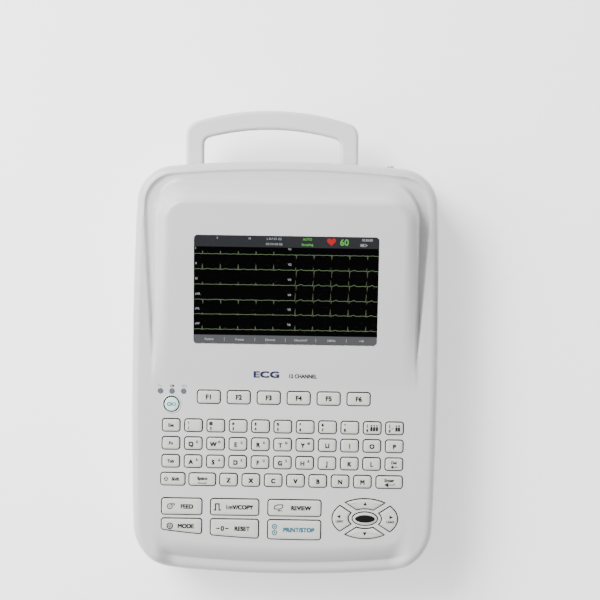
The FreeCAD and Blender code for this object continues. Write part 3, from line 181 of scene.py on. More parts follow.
class Pile:
    """Vertices and faces that several small shapes are added to, for one object."""

    def __init__(self):
        self.vertices = []
        self.faces = []
        self.marks = []

    def add(self, vertices, faces, mark=0):
        start = len(self.vertices)
        self.vertices += [Vector(v) for v in vertices]
        self.faces += [[start + i for i in face] for face in faces]
        self.marks += [mark] * len(faces)

    def prism(self, ring, low, high, mark=0):
        """A closed upright prism over a ring of points, counter-clockwise from above."""
        count = len(ring)
        points = [Vector((p[0], p[1], low)) for p in ring]
        points += [Vector((p[0], p[1], high)) for p in ring]
        faces = [list(range(count - 1, -1, -1)), list(range(count, 2 * count))]
        faces += [[i, (i + 1) % count, count + (i + 1) % count, count + i]
                  for i in range(count)]
        self.add(points, faces, mark)

    def rings(self, rings, mark_of=None):
        """A closed skin over a stack of rings with equal counts."""
        count = len(rings[0])
        points = [p for ring in rings for p in ring]
        self.add(points, [list(range(count - 1, -1, -1))],
                 mark_of(0) if mark_of else 0)
        start = len(self.vertices) - len(points)
        for level in range(len(rings) - 1):
            mark = mark_of(level) if mark_of else 0
            for i in range(count):
                j = (i + 1) % count
                low = start + level * count
                self.faces.append([low + i, low + j, low + count + j, low + count + i])
                self.marks.append(mark)
        last = start + (len(rings) - 1) * count
        self.faces.append(list(range(last, last + count)))
        self.marks.append(mark_of(len(rings) - 2) if mark_of else 0)

    def build(self, name, *materials):
        made = make_object(name, self.vertices, self.faces)
        for material in materials:
            made.data.materials.append(material)
        made.data.polygons.foreach_set("material_index", self.marks)
        return made


def grown(ring, margin):
    """A closed ring moved outward by a margin, along the mean of its edges' normals."""
    count = len(ring)
    out = []
    for i in range(count):
        before = ring[i] - ring[i - 1]
        after = ring[(i + 1) % count] - ring[i]
        a = Vector((before.y, -before.x)).normalized()
        b = Vector((after.y, -after.x)).normalized()
        mitre = (a + b).normalized()
        reach = margin / max(0.5, mitre.dot(a))
        out.append(ring[i] + mitre * reach)
    return out


def circle(x, y, radius, count=32):
    return [Vector((x + radius * math.cos(2 * math.pi * i / count),
                    y + radius * math.sin(2 * math.pi * i / count)))
            for i in range(count)]


def rounded_box(x, y, wide, tall, corner, steps=6):
    ring = []
    for quarter, (sx, sy) in enumerate(((1, 1), (-1, 1), (-1, -1), (1, -1))):
        cx = x + sx * (wide / 2 - corner)
        cy = y + sy * (tall / 2 - corner)
        for k in range(steps + 1):
            angle = math.pi / 2 * (quarter + k / steps)
            ring.append(Vector((cx + corner * math.cos(angle),
                                cy + corner * math.sin(angle))))
    return ring


def stroke(points, width, closed=False):
    """The two edges of a flat line through points, as quads with mitred joints."""
    points = [Vector(p) for p in points]
    count = len(points)
    left, right = [], []
    for i, point in enumerate(points):
        before = points[i - 1] if i or closed else None
        after = points[(i + 1) % count] if i < count - 1 or closed else None
        a = (point - before).normalized() if before is not None else None
        b = (after - point).normalized() if after is not None else None
        a = b if a is None else a
        b = a if b is None else b
        normal = Vector((-a.y - b.y, a.x + b.x))
        normal = normal.normalized() if normal.length > 1e-9 else Vector((-a.y, a.x))
        reach = width / 2 / max(0.45, normal.dot(Vector((-a.y, a.x))))
        left.append(point + normal * reach)
        right.append(point - normal * reach)
    quads = []
    for i in range(count if closed else count - 1):
        j = (i + 1) % count
        quads.append((right[i], right[j], left[j], left[i]))
    return quads


# ---------------------------------------------------------------------------- lettering

class Print:
    """Flat printing at one height: words, lines and filled shapes, in millimetres.

    They are drawn about a centre, in the colour of a mark, and place lays them on a surface.
    """

    CAPITAL_SHARE = 0.70
    COPY_DROP = 0.000001

    def __init__(self, height, place=None):
        self.pile = Pile()
        self.place = place or (lambda p: p)
        self.height = height
        self.centre = Vector((0.0, 0.0))
        self.mark = 0

    def lay(self, ring):
        start = len(self.pile.vertices)
        spots = [self.centre + Vector(p) * MM for p in ring]
        self.pile.prism(spots, self.height - GLYPH_THICK, self.height, self.mark)
        for vertex in self.pile.vertices[start:]:
            vertex[:] = self.place(vertex)

    def line(self, points, width, closed=False):
        for quad in stroke(points, width, closed):
            self.lay(quad)

    def arrow(self, x, y, wide, width):
        """A line with an arrow head, pointing left for a positive wide and right otherwise."""
        tip = wide * 0.42
        end = x - wide / 2
        self.line([(x + wide / 2, y), (end + tip * 0.8, y)], width)
        head = [(end, y), (end + tip, y - abs(tip) * 0.6), (end + tip, y + abs(tip) * 0.6)]
        self.lay(head if wide > 0 else head[::-1])

    def word(self, text, x, y, capital, bold=0.085, squeeze=1.0, align="CENTER"):
        """A word whose capitals are centred on y; shifted copies make it bold."""
        curve = bpy.data.curves.new("Word", "FONT")
        curve.body = text
        curve.size = capital * MM / self.CAPITAL_SHARE
        curve.extrude = GLYPH_THICK / 2
        curve.resolution_u = 3
        curve.align_x = align
        holder = bpy.data.objects.new("Word", curve)
        mesh = bpy.data.meshes.new_from_object(holder)
        corner = self.centre + Vector((x, y - capital / 2)) * MM
        shift = bold * capital * MM
        for n, (dx, dy) in enumerate(((-1, -1), (1, -1), (-1, 1), (1, 1))):
            level = self.height - GLYPH_THICK / 2 - n * self.COPY_DROP
            points = [self.place(Vector((corner.x + v.co.x * squeeze + dx * shift,
                                         corner.y + v.co.y + dy * shift, level + v.co.z)))
                      for v in mesh.vertices]
            self.pile.add(points, [list(p.vertices) for p in mesh.polygons], self.mark)
        bpy.data.objects.remove(holder)
        bpy.data.curves.remove(curve)
        bpy.data.meshes.remove(mesh)

    def build(self, name, body, slot_name, *materials):
        made = self.pile.build(name, *materials)
        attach(made, body)
        return made


# ---------------------------------------------------------------------- shader groups

def new_group(name, inputs, outputs):
    tree = bpy.data.node_groups.new(name, "ShaderNodeTree")
    for label, kind, default in inputs:
        socket = tree.interface.new_socket(label, in_out="INPUT", socket_type=kind)
        socket.default_value = default
    for label, kind in outputs:
        tree.interface.new_socket(label, in_out="OUTPUT", socket_type=kind)
    return tree, tree.nodes.new("NodeGroupInput"), tree.nodes.new("NodeGroupOutput")


def node(tree, kind, values=None, **settings):
    made = tree.nodes.new(kind)
    for key, value in settings.items():
        setattr(made, key, value)
    for key, value in (values or {}).items():
        made.inputs[key].default_value = value
    return made


def link(tree, source, target):
    tree.links.new(source, target)


def maths(tree, operation, *values, use_clamp=False):
    """A maths node on values that are numbers or sockets."""
    made = node(tree, "ShaderNodeMath", operation=operation, use_clamp=use_clamp)
    for socket, value in zip(made.inputs, values):
        if isinstance(value, float):
            socket.default_value = value
        else:
            link(tree, value, socket)
    return made.outputs[0]


def mixed_colour(tree, factor, first, second):
    """Two colours, each a tuple or a socket, mixed by a factor."""
    made = node(tree, "ShaderNodeMix", data_type="RGBA")
    link(tree, factor, made.inputs["Factor"])
    for key, value in (("A", first), ("B", second)):
        if isinstance(value, tuple):
            made.inputs[key].default_value = (*value, 1.0)
        else:
            link(tree, value, made.inputs[key])
    return made.outputs["Result"]


def textured(tree, kind, values, **settings):
    """A texture node on object coordinates."""
    made = node(tree, kind, values, **settings)
    place = node(tree, "ShaderNodeTexCoord")
    link(tree, place.outputs["Object"], made.inputs["Vector"])
    return made


def mapped_noise(tree, stretch, scale, detail, rough):
    """Noise on object coordinates, stretched along the axes; its scale may be a socket."""
    mapping = textured(tree, "ShaderNodeMapping", {"Scale": stretch})
    noise = node(tree, "ShaderNodeTexNoise", {"Detail": detail, "Roughness": rough})
    link(tree, mapping.outputs["Vector"], noise.inputs["Vector"])
    if isinstance(scale, float):
        noise.inputs["Scale"].default_value = scale
    else:
        link(tree, scale, noise.inputs["Scale"])
    return noise.outputs["Fac"]


def spread(tree, value, low, high, to_low=-1.0, to_high=1.0):
    ranged = node(tree, "ShaderNodeMapRange",
                  {"From Min": low, "From Max": high, "To Min": to_low, "To Max": to_high})
    link(tree, value, ranged.inputs["Value"])
    return ranged.outputs["Result"]


def vary(tree, given, out, tone, gloss):
    """Brighten the group's colour and add to its roughness by amounts about zero."""
    tinted = node(tree, "ShaderNodeVectorMath", operation="SCALE")
    link(tree, given.outputs["Color"], tinted.inputs[0])
    link(tree, maths(tree, "ADD", tone, 1.0), tinted.inputs["Scale"])
    link(tree, tinted.outputs["Vector"], out.inputs["Color"])
    rough = maths(tree, "ADD", gloss, given.outputs["Roughness"], use_clamp=True)
    link(tree, rough, out.inputs["Roughness"])


EVEN = (1.0, 1.0, 1.0)
RELIEF = [("Color", "NodeSocketColor"), ("Roughness", "NodeSocketFloat"),
          ("Height", "NodeSocketFloat")]


def moulded_group():
    """Moulded plastic or rubber: faint tone clouds, handling marks and a fine grain."""
    tree, given, out = new_group(
        "moulded_surface",
        [("Color", "NodeSocketColor", (0.8, 0.8, 0.8, 1.0)),
         ("Tone", "NodeSocketFloat", 0.03), ("Grain Scale", "NodeSocketFloat", 2600.0),
         ("Smear", "NodeSocketFloat", 0.08), ("Roughness", "NodeSocketFloat", 0.4)], RELIEF)
    clouds = spread(tree, mapped_noise(tree, EVEN, 9.0, 4.0, 0.55), 0.3, 0.7)
    smears = spread(tree, mapped_noise(tree, (1.0, 0.35, 1.0), 38.0, 5.0, 0.6), 0.35, 0.75)
    vary(tree, given, out, maths(tree, "MULTIPLY", clouds, given.outputs["Tone"]),
         maths(tree, "MULTIPLY", smears, given.outputs["Smear"]))
    grain = mapped_noise(tree, EVEN, given.outputs["Grain Scale"], 2.0, 0.5)
    link(tree, grain, out.inputs["Height"])
    return tree


def metal_group():
    """Drawn or brushed metal: long fine streaks in tone, gloss and height."""
    tree, given, out = new_group(
        "brushed_metal",
        [("Color", "NodeSocketColor", (0.6, 0.6, 0.6, 1.0)),
         ("Streak", "NodeSocketFloat", 0.12), ("Roughness", "NodeSocketFloat", 0.3)], RELIEF)
    streaks = mapped_noise(tree, (1.0, 24.0, 24.0), 110.0, 3.0, 0.6)
    amount = maths(tree, "MULTIPLY", spread(tree, streaks, 0.3, 0.7), given.outputs["Streak"])
    vary(tree, given, out, amount, amount)
    link(tree, streaks, out.inputs["Height"])
    return tree


def board_group():
    """Circuit board: solder mask over a maze of tracks, with rows of bright pads."""
    tree, given, out = new_group(
        "circuit_board",
        [("Mask", "NodeSocketColor", (0.01, 0.12, 0.05, 1.0)),
         ("Track", "NodeSocketColor", (0.03, 0.22, 0.09, 1.0)),
         ("Pad", "NodeSocketColor", (0.72, 0.66, 0.5, 1.0))],
        [("Color", "NodeSocketColor"), ("Height", "NodeSocketFloat"),
         ("Metal", "NodeSocketFloat")])
    tracks = textured(tree, "ShaderNodeTexBrick",
                      {"Scale": 170.0, "Mortar Size": 0.13, "Mortar Smooth": 0.1,
                       "Color1": (0, 0, 0, 1), "Color2": (0, 0, 0, 1), "Mortar": (1, 1, 1, 1)},
                      offset=0.37, squash=1.7)
    pads = textured(tree, "ShaderNodeTexVoronoi", {"Scale": 240.0, "Randomness": 0.55})
    dots = maths(tree, "LESS_THAN", pads.outputs["Distance"], 0.2)
    base = mixed_colour(tree, tracks.outputs["Color"], given.outputs["Mask"],
                        given.outputs["Track"])
    full = mixed_colour(tree, dots, base, given.outputs["Pad"])
    link(tree, full, out.inputs["Color"])
    link(tree, tracks.outputs["Fac"], out.inputs["Height"])
    link(tree, dots, out.inputs["Metal"])
    return tree


# ------------------------------------------------------------------------- materials

def once(maker):
    """Make the finish of each name only once."""
    def made(name, *values, **constants):
        if name not in FINISHES:
            FINISHES[name] = maker(name, *values, **constants)
        return FINISHES[name]
    return made


def start_material(name, constants):
    """A material with a Principled shader whose constants are set on its sockets."""
    material = bpy.data.materials.new(f"{name}_finish")
    material.use_nodes = True
    shader = material.node_tree.nodes["Principled BSDF"]
    for key, value in constants.items():
        shader.inputs[key].default_value = value
    return material, material.node_tree, shader


def raise_bump(tree, shader, height, strength, distance):
    bump = node(tree, "ShaderNodeBump", {"Strength": strength, "Distance": distance})
    link(tree, height, bump.inputs["Height"])
    link(tree, bump.outputs["Normal"], shader.inputs["Normal"])


def surfaced(name, group, maker, values, bump, distance, constants):
    """A material whose colour, gloss or metal, and relief come from a shared group."""
    material, tree, shader = start_material(name, constants)
    shared = bpy.data.node_groups.get(group) or maker()
    surface = node(tree, "ShaderNodeGroup", values, node_tree=shared)
    feeds = {"Color": "Base Color", "Roughness": "Roughness", "Metal": "Metallic"}
    for output in surface.outputs:
        if output.name in feeds:
            link(tree, output, shader.inputs[feeds[output.name]])
    raise_bump(tree, shader, surface.outputs["Height"], bump, distance)
    return material


@once
def moulded(name, tint, rough, tone=0.03, grain=2600.0, smear=0.07, bump=0.12, **constants):
    values = {"Color": (*tint, 1.0), "Tone": tone, "Grain Scale": grain, "Smear": smear,
              "Roughness": rough}
    return surfaced(name, "moulded_surface", moulded_group, values, bump, 0.00006, constants)


@once
def metal(name, tint, rough, streak=0.12):
    values = {"Color": (*tint, 1.0), "Streak": streak, "Roughness": rough}
    return surfaced(name, "brushed_metal", metal_group, values, 0.15, 0.00004,
                    {"Metallic": 1.0})


@once
def board(name):
    return surfaced(name, "circuit_board", board_group, {}, 0.3, 0.0001,
                    {"Roughness": 0.35, "Coat Weight": 0.3})


@once
def paper(name):
    """A folded pack of thermal paper: pages show as fine lines round its edge."""
    material, tree, shader = start_material(name, {"Roughness": 0.75})
    pages = textured(tree, "ShaderNodeTexWave",
                     {"Scale": 1100.0, "Distortion": 0.6, "Detail": 2.0, "Detail Scale": 0.4},
                     bands_direction="Z")
    white = mixed_colour(tree, pages.outputs["Fac"], (0.86, 0.84, 0.80), (0.93, 0.91, 0.88))
    link(tree, white, shader.inputs["Base Color"])
    raise_bump(tree, shader, pages.outputs["Fac"], 0.4, 0.0001)
    return material


@once
def glass(name):
    """Clear hard-coated window with a trace of fingerprints in its gloss."""
    material, tree, shader = start_material(
        name, {"Base Color": (0.93, 0.95, 0.96, 1.0), "Transmission Weight": 1.0,
               "IOR": 1.02})
    prints = mapped_noise(tree, EVEN, 30.0, 4.0, 0.6)
    link(tree, spread(tree, prints, 0.4, 0.75, 0.0, 0.012), shader.inputs["Roughness"])
    return material


def lit_material(name, strength):
    """The start of a screen material, which only glows."""
    return start_material(name, {"Base Color": (0.0, 0.0, 0.0, 1.0), "Roughness": 1.0,
                                 "Specular IOR Level": 0.0, "Emission Strength": strength})


@once
def glowing(name, tint, strength=1.0):
    """A lit part of the screen, with the fine rows of the panel across it."""
    material, tree, shader = lit_material(name, strength)
    rows = textured(tree, "ShaderNodeTexWave", {"Scale": 900.0}, bands_direction="Y")
    dim = tuple(c * 0.8 for c in tint)
    shade = mixed_colour(tree, rows.outputs["Fac"], dim, tuple(tint))
    link(tree, shade, shader.inputs["Emission Color"])
    return material


@once
def panel_black(name, pitch):
    """The dark panel with the faint grid of an ECG chart."""
    material, tree, shader = lit_material(name, 1.0)
    split = textured(tree, "ShaderNodeSeparateXYZ", {})
    lines = [maths(tree, "LESS_THAN",
                   maths(tree, "FRACT", maths(tree, "MULTIPLY", split.outputs[axis], 1.0 / pitch)),
                   0.07) for axis in ("X", "Y")]
    shade = mixed_colour(tree, maths(tree, "MAXIMUM", *lines), (0.0009, 0.0011, 0.0012),
                         (0.018, 0.014, 0.014))
    link(tree, shade, shader.inputs["Emission Color"])
    return material


def finish_node(name, material):
    """Give a CAD node its finish."""
    shown = frame["nodes"][name]
    if not shown.material_slots:
        shown.data.materials.append(material)
    for holder in shown.material_slots:
        holder.material = material


def housing_plastic():
    look = bpy.context.scene.ecg_finish
    return moulded("housing_plastic", look.housing, 0.36, 0.02, 2200.0, 0.05, 0.10,
                   **{"Coat Weight": 0.12, "Coat Roughness": 0.25})


def key_rubber():
    look = bpy.context.scene.ecg_finish
    return moulded("key_rubber", look.key, 0.6, 0.03, 3200.0, 0.06, 0.15,
                   **{"Specular IOR Level": 0.3})


# near-black rubber for the keypad mat, also painted shade on the skirt, wall and lower shoulder of
# every key
def dark_rubber():
    return moulded("dark_rubber", (0.006, 0.006, 0.006), 0.8, 0.1, 3000.0,
                   **{"Specular IOR Level": 0.15})


def ink(name, tint):
    return moulded(name, tint, 0.6, 0.08, 5200.0, 0.05, 0.2, **{"Specular IOR Level": 0.12})


# ------------------------------------------------------------------------- top cover

def clamp(value):
    return min(1.0, max(0.0, value))


def eased(low, high, value):
    t = clamp((value - low) / (high - low))
    return t * t * (3 - 2 * t)


class Plan:
    """The housing's bowed outline as arcs that flow into each other, about its middle."""

    def __init__(self, sizes):
        self.sizes = sizes
        self.ends = {s: Vector((0.0, s * (sizes.long / 2 - sizes.end_bow))) for s in (1, -1)}
        self.flanks = {s: Vector((s * (sizes.wide / 2 - sizes.side_bow), 0.0))
                       for s in (1, -1)}
        self.corners = {}
        for sx in (1, -1):
            for sy in (1, -1):
                radius = sizes.rear_corner if sy > 0 else sizes.front_corner
                self.corners[sx, sy] = (self.centre(sx, sy, radius), radius)
        self.sides = [self.side(k) for k in range(4)]

    def centre(self, sx, sy, radius):
        """Where a corner arc touches both the end's arc and the side's arc."""
        end, flank = self.ends[sy], self.flanks[sx]
        a, b = self.sizes.end_bow - radius, self.sizes.side_bow - radius
        gap = flank - end
        along = (a * a - b * b + gap.length_squared) / (2 * gap.length)
        off = math.sqrt(a * a - along * along)
        foot = end + gap.normalized() * along
        normal = Vector((-gap.y, gap.x)).normalized()
        return max((foot + normal * off, foot - normal * off),
                   key=lambda p: p.x * sx + p.y * sy)

    def side(self, k):
        """One side, from mid corner to mid corner, counter-clockwise from the right."""
        turns = [((1, -1), (1, 1)), ((1, 1), (-1, 1)), ((-1, 1), (-1, -1)),
                 ((-1, -1), (1, -1))]
        first, second = turns[k]
        if k % 2 == 0:
            middle, bow = self.flanks[1 if k == 0 else -1], self.sizes.side_bow
        else:
            middle, bow = self.ends[1 if k == 1 else -1], self.sizes.end_bow
        facing = k * math.pi / 2

        def angle(vector):
            raw = math.atan2(vector.y, vector.x)
            return raw + 2 * math.pi * round((facing - raw) / (2 * math.pi))

        (c1, r1), (c2, r2) = self.corners[first], self.corners[second]
        a1, a2 = angle(c1 - middle), angle(c2 - middle)
        arcs = [(c1, r1, facing - math.pi / 4, a1), (middle, bow, a1, a2),
                (c2, r2, a2, facing + math.pi / 4)]
        return arcs, [abs(r * (b - a)) for _, r, a, b in arcs]

    def at(self, k, share):
        """The outline's point and outward normal at a share of side k."""
        arcs, lengths = self.sides[k]
        left = share * sum(lengths)
        for (middle, radius, a, b), span in zip(arcs, lengths):
            if left <= span + 1e-12:
                break
            left -= span
        turn = a + (b - a) * min(1.0, left / span)
        normal = Vector((math.cos(turn), math.sin(turn)))
        return middle + normal * radius, normal

    def inset(self, x, y):
        """How far a point lies inside the outline."""
        point = Vector((x, y))
        sx, sy = (1 if x > 0 else -1), (1 if y > 0 else -1)
        corner, radius = self.corners[sx, sy]
        away = point - corner
        if away.x * sx > 0 and away.y * sy > 0:
            return radius - away.length
        return min(self.sizes.end_bow - (point - self.ends[sy]).length,
                   self.sizes.side_bow - (point - self.flanks[sx]).length)


class CoverForm:
    """Height of the top cover over its plan."""

    SOFT = 0.005

    def __init__(self, sizes, plan):
        self.sizes = sizes
        self.plan = plan

    def hood_share(self, x, y):
        """1 on the hood's flat top, falling over its bevels to 0 outside."""
        s = self.sizes
        flat_x = s.hood_half - s.side_bevel - s.hood_corner
        flat_y = s.hood_front + s.hood_run - s.hood_corner
        px = max(0.0, abs(x) - flat_x) / (s.hood_corner + s.side_bevel)
        py = max(0.0, y - flat_y) / (s.hood_corner + s.rear_bevel)
        out = math.hypot(px, py)
        if out == 0.0:
            return 1.0
        rear = py * py / (px * px + py * py)
        bevel = s.side_bevel + (s.rear_bevel - s.side_bevel) * rear
        inner = s.hood_corner / (s.hood_corner + bevel)
        q = (out - inner) / (1 - inner)
        side_fall = 1 - 0.30 * clamp(q) ** 2
        if q > 1:
            side_fall *= 1 - eased(1.0, 1.3, q)
        return side_fall * (1 - rear) + (1 - eased(0.0, 1.1, q)) * rear

    def height(self, x, y):
        s = self.sizes
        inset = self.plan.inset(x, y)
        floor = s.deck
        if y < 0:
            across = 1 - eased(s.step_half - 0.016, s.step_half, abs(x))
            fall = clamp((s.step_start - inset) / (s.step_start - s.step_end))
            floor -= s.step_drop * across * fall ** 1.7
        beyond = y - s.hood_front
        rail = s.rail_front + (s.rail_rear - s.rail_front) * clamp(beyond / 0.150)
        depth = s.channel * clamp(beyond / 0.045)
        if y > 0.1:
            depth *= 0.5 + 0.5 * eased(0.085, 0.110, abs(x))
        floor -= depth * eased(rail - 0.0014, rail + 0.0014, inset)
        if beyond <= -self.SOFT:
            return floor
        if beyond > self.SOFT:
            run = beyond
        else:
            run = (beyond + self.SOFT) ** 2 / (4 * self.SOFT)
        rise = min(s.crest - s.deck, run * (s.crest - s.deck) / s.hood_run)
        return floor + (s.deck + rise - floor) * self.hood_share(x, y)

    def under(self, x, y):
        """Height of the cover's inner face."""
        w = self.sizes.wall
        around = ((0, 0), (w, 0), (-w, 0), (0, w), (0, -w))
        return min(self.height(x + dx, y + dy) for dx, dy in around) - w


def block_lines(low, high, count):
    """Grid lines between two limits, closer together toward both ends."""
    middle, half = (low + high) / 2, (high - low) / 2
    spots = [2 * i / count - 1 for i in range(count + 1)]
    return [middle + half * (0.62 * t + 0.38 * math.sin(t * math.pi / 2)) for t in spots]


def cover_skin(pile, form, offset, columns, rows, rings, roll_steps):
    """One face of the cover: a block of quads in the middle and bands out to the rim."""
    s, plan = form.sizes, form.plan
    top = form.height if offset == 0 else form.under
    half = 0.090
    xs = block_lines(-half, half, columns)
    ys = block_lines(-0.140, 0.132, rows)
    points, faces = [], []
    for y in ys:
        points += [Vector((x, y, top(x, y))) for x in xs]
    wide = columns + 1
    for j in range(rows):
        for i in range(columns):
            a = j * wide + i
            faces.append((a, a + 1, a + 1 + wide, a + wide))
    rim = [(j * wide + columns, 0, j / rows) for j in range(rows)]
    rim += [(rows * wide + i, 1, 1 - i / columns) for i in range(columns, 0, -1)]
    rim += [(j * wide, 2, 1 - j / rows) for j in range(rows, 0, -1)]
    rim += [(i, 3, i / columns) for i in range(columns)]
    previous = [index for index, _, _ in rim]
    stations = [(points[index], *plan.at(k, share)) for index, k, share in rim]
    levels = []
    for r in range(1, rings + 1):
        level = []
        for start, edge, normal in stations:
            target = edge - normal * s.roll
            spot = Vector(start[:2]).lerp(target, r / rings)
            level.append(Vector((*spot, top(*spot))))
        levels.append(level)
    crown = [form.height(*(edge - normal * s.roll)) for _, edge, normal in stations]
    radius = s.roll - offset
    for step in range(1, roll_steps + 1):
        turn = math.pi / 2 * step / roll_steps
        level = []
        for (_, edge, normal), high in zip(stations, crown):
            spot = edge - normal * (s.roll - radius * math.sin(turn))
            level.append(Vector((*spot, high - s.roll + radius * math.cos(turn))))
        levels.append(level)
    shadow = 0.0005 if offset == 0 else 0.0
    for up, back in ((0.012, 0.0), (0.0012, 0.0), (0.0009, shadow), (0.0, shadow)):
        levels.append([Vector((*(edge - normal * (offset + back)), s.split + up))
                       for _, edge, normal in stations])
    count = len(rim)
    for level in levels:
        start = len(points)
        points += level
        for i in range(count):
            j = (i + 1) % count
            faces.append((previous[i], start + i, start + j, previous[j]))
        previous = list(range(start, start + count))
    if offset:
        faces = [tuple(reversed(face)) for face in faces]
    base = len(pile.vertices)
    pile.add([p + MIDDLE for p in points], faces)
    return [base + i for i in previous]


# how far under a cap's top its edge starts to roll, how far apart heights still count as one,
# and how close two points of an outline may stand
CAP_EDGE, SAME_LEVEL, CLOSEST = 0.45 * MM, 2e-5, 0.1 * MM


def cap_outlines(name):
    """Plan outlines of a node's key caps, taken where their rounded top edge starts."""
    work = bmesh.new()
    work.from_mesh(frame["nodes"][name].data)
    bmesh.ops.remove_doubles(work, verts=work.verts, dist=1e-6)
    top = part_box(name)[1].z
    chosen, near = [], {}
    for level in (top - CAP_EDGE, top):
        chosen = [v for v in work.verts if abs(v.co.z - level) < SAME_LEVEL]
        near = {v: [e.other_vert(v) for e in v.link_edges if on_outline(e, level)]
                for v in chosen}
        if chosen:
            break
    rings, left = [], set(chosen)
    while left:
        start = min(left, key=lambda v: (round(v.co.x, 6), round(v.co.y, 6)))
        ring, spot = [], start
        while spot is not None:
            ring.append(Vector(spot.co[:2]))
            left.discard(spot)
            spot = next((n for n in near[spot] if n in left), None)
        area = sum(a.x * b.y - b.x * a.y for a, b in zip(ring, ring[1:] + ring[:1]))
        rings.append(ring if area > 0 else ring[::-1])
    work.free()
    rings = [thinned(ring) for ring in rings if len(ring) > 6]
    return sorted(rings, key=lambda ring: middle_of(ring).x)


def on_outline(edge, level):
    """Whether an edge lies at a level and a face beside it leaves that level."""
    level_ends = all(abs(v.co.z - level) < SAME_LEVEL for v in edge.verts)
    leaves = any(abs(v.co.z - level) > SAME_LEVEL for f in edge.link_faces for v in f.verts)
    return level_ends and leaves


def thinned(ring):
    """The ring without points that stand too close to the one before."""
    kept = []
    for point in ring:
        if not kept or (point - kept[-1]).length > CLOSEST:
            kept.append(point)
    if (kept[0] - kept[-1]).length < CLOSEST:
        kept.pop()
    return kept


def middle_of(ring):
    xs, ys = [p.x for p in ring], [p.y for p in ring]
    return Vector(((min(xs) + max(xs)) / 2, (min(ys) + max(ys)) / 2))


KEY_ROWS = ["digit_keys", "upper_letter_keys", "middle_letter_keys", "lower_letter_keys"]
MENU = [f"f{n}_key" for n in range(1, 7)]
WORK = ["feed_key", "copy_key", "review_key", "mode_key", "reset_key", "print_key"]
LEAD = ["lead_up_key", "lead_down_key", "lead_left_key", "lead_right_key",
        "lead_centre_key"]
ALL_KEYS = KEY_ROWS + MENU + WORK + LEAD + ["power_key"]
# from the middle of the window's glass to the plane that the screen's drawing starts from
WINDOW_FACE = 0.0016


def sloped(foot, sizes, lift=0.0):
    """Turn points drawn on a flat sheet into places on the hood's slope, lifted off foot."""
    slope = math.atan((sizes.crest - sizes.deck) / sizes.hood_run)
    along = Vector((0.0, math.cos(slope), math.sin(slope)))
    out = Vector((0.0, -math.sin(slope), math.cos(slope)))
    base = foot + out * lift

    def place(point):
        return base + Vector((point[0], 0.0, 0.0)) + along * point[1] + out * point[2]

    return place


def window_place(sizes):
    """Turn points drawn on the window, from its middle, into places on its outer face."""
    low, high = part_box("screen_window")
    return sloped((low + high) / 2, sizes, WINDOW_FACE)


def lamp_spots():
    """The middle of each indicator lamp, from the node that holds all three."""
    low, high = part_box("light_pipes")
    radius = (high.y - low.y) / 2
    y = (low.y + high.y) / 2
    return [(low.x + radius + (high.x - low.x - 2 * radius) * n / 2, y, radius)
            for n in range(3)]


def cut_box(pile, low, high):
    """A cutter between two corners."""
    ring = [Vector(p) for p in ((low[0], low[1]), (high[0], low[1]), (high[0], high[1]),
                                (low[0], high[1]))]
    pile.prism(ring, low[2], high[2])


def cover_cutters(sizes):
    """Everything that is cut through the deck, the hood and the rear wall."""
    pile = Pile()
    gap = bpy.context.scene.ecg_keys.gap
    low, high = sizes.deck - 0.008, sizes.deck + 0.004
    for name in ALL_KEYS:
        for ring in cap_outlines(name):
            pile.prism(grown(ring, gap), low, high)
    for x, y, radius in lamp_spots():
        pile.prism(circle(x, y, radius + 0.00015, 24), low, high)
    place = window_place(sizes)
    start = len(pile.vertices)
    pile.prism(rounded_box(0, 0, 0.1541, 0.0924, 0.0032, 8), -0.012, 0.006)
    for vertex in pile.vertices[start:]:
        vertex[:] = place(vertex)
    grip_low, grip_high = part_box("carry_handle")
    edge = 0.0006
    rear, left = COVER_HIGH.y, COVER_LOW.x
    cut_box(pile, (grip_low.x - edge, rear - 0.016, grip_low.z - edge),
            (grip_high.x + edge, rear + 0.006, grip_high.z + edge))
    door_low, door_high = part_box("drawer_front")
    cut_box(pile, (left - 0.002, door_low.y, sizes.split - 0.001),
            (left + 0.006, door_high.y, sizes.split + 0.0014))
    return pile.build("cover_cutters")


class ECG_OT_top_cover(bpy.types.Operator):
    """Mould the top cover: bowed rim, sloped hood, channels, front slope and openings"""

    bl_idname = "ecg.top_cover"
    bl_label = "Top cover"

    def execute(self, context):
        sizes = context.scene.ecg_cover
        form = CoverForm(sizes, Plan(sizes))
        pile = Pile()
        outer = cover_skin(pile, form, 0.0, 58, 84, 30, 8)
        inner = cover_skin(pile, form, sizes.wall, 58, 84, 10, 3)
        count = len(outer)
        for i in range(count):
            j = (i + 1) % count
            pile.faces.append([outer[i], inner[i], inner[j], outer[j]])
            pile.marks.append(0)
        cover = pile.build("cover_shell", housing_plastic())
        cutters = cover_cutters(sizes)
        opened = cover.modifiers.new("Openings", "BOOLEAN")
        opened.object = cutters
        opened.operation = "DIFFERENCE"
        opened.solver = "EXACT"
        depsgraph = context.evaluated_depsgraph_get()
        mesh = bpy.data.meshes.new_from_object(cover.evaluated_get(depsgraph))
        if len(mesh.polygons) < len(cover.data.polygons) / 2:
            raise RuntimeError("the openings were not cut through the top cover")
        cover.modifiers.clear()
        cover.data = mesh
        bpy.data.objects.remove(cutters)
        smooth(cover, 40.0)
        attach(cover, "housing")
        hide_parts("top_cover")
        return {"FINISHED"}


# ------------------------------------------------------------------------------ keys

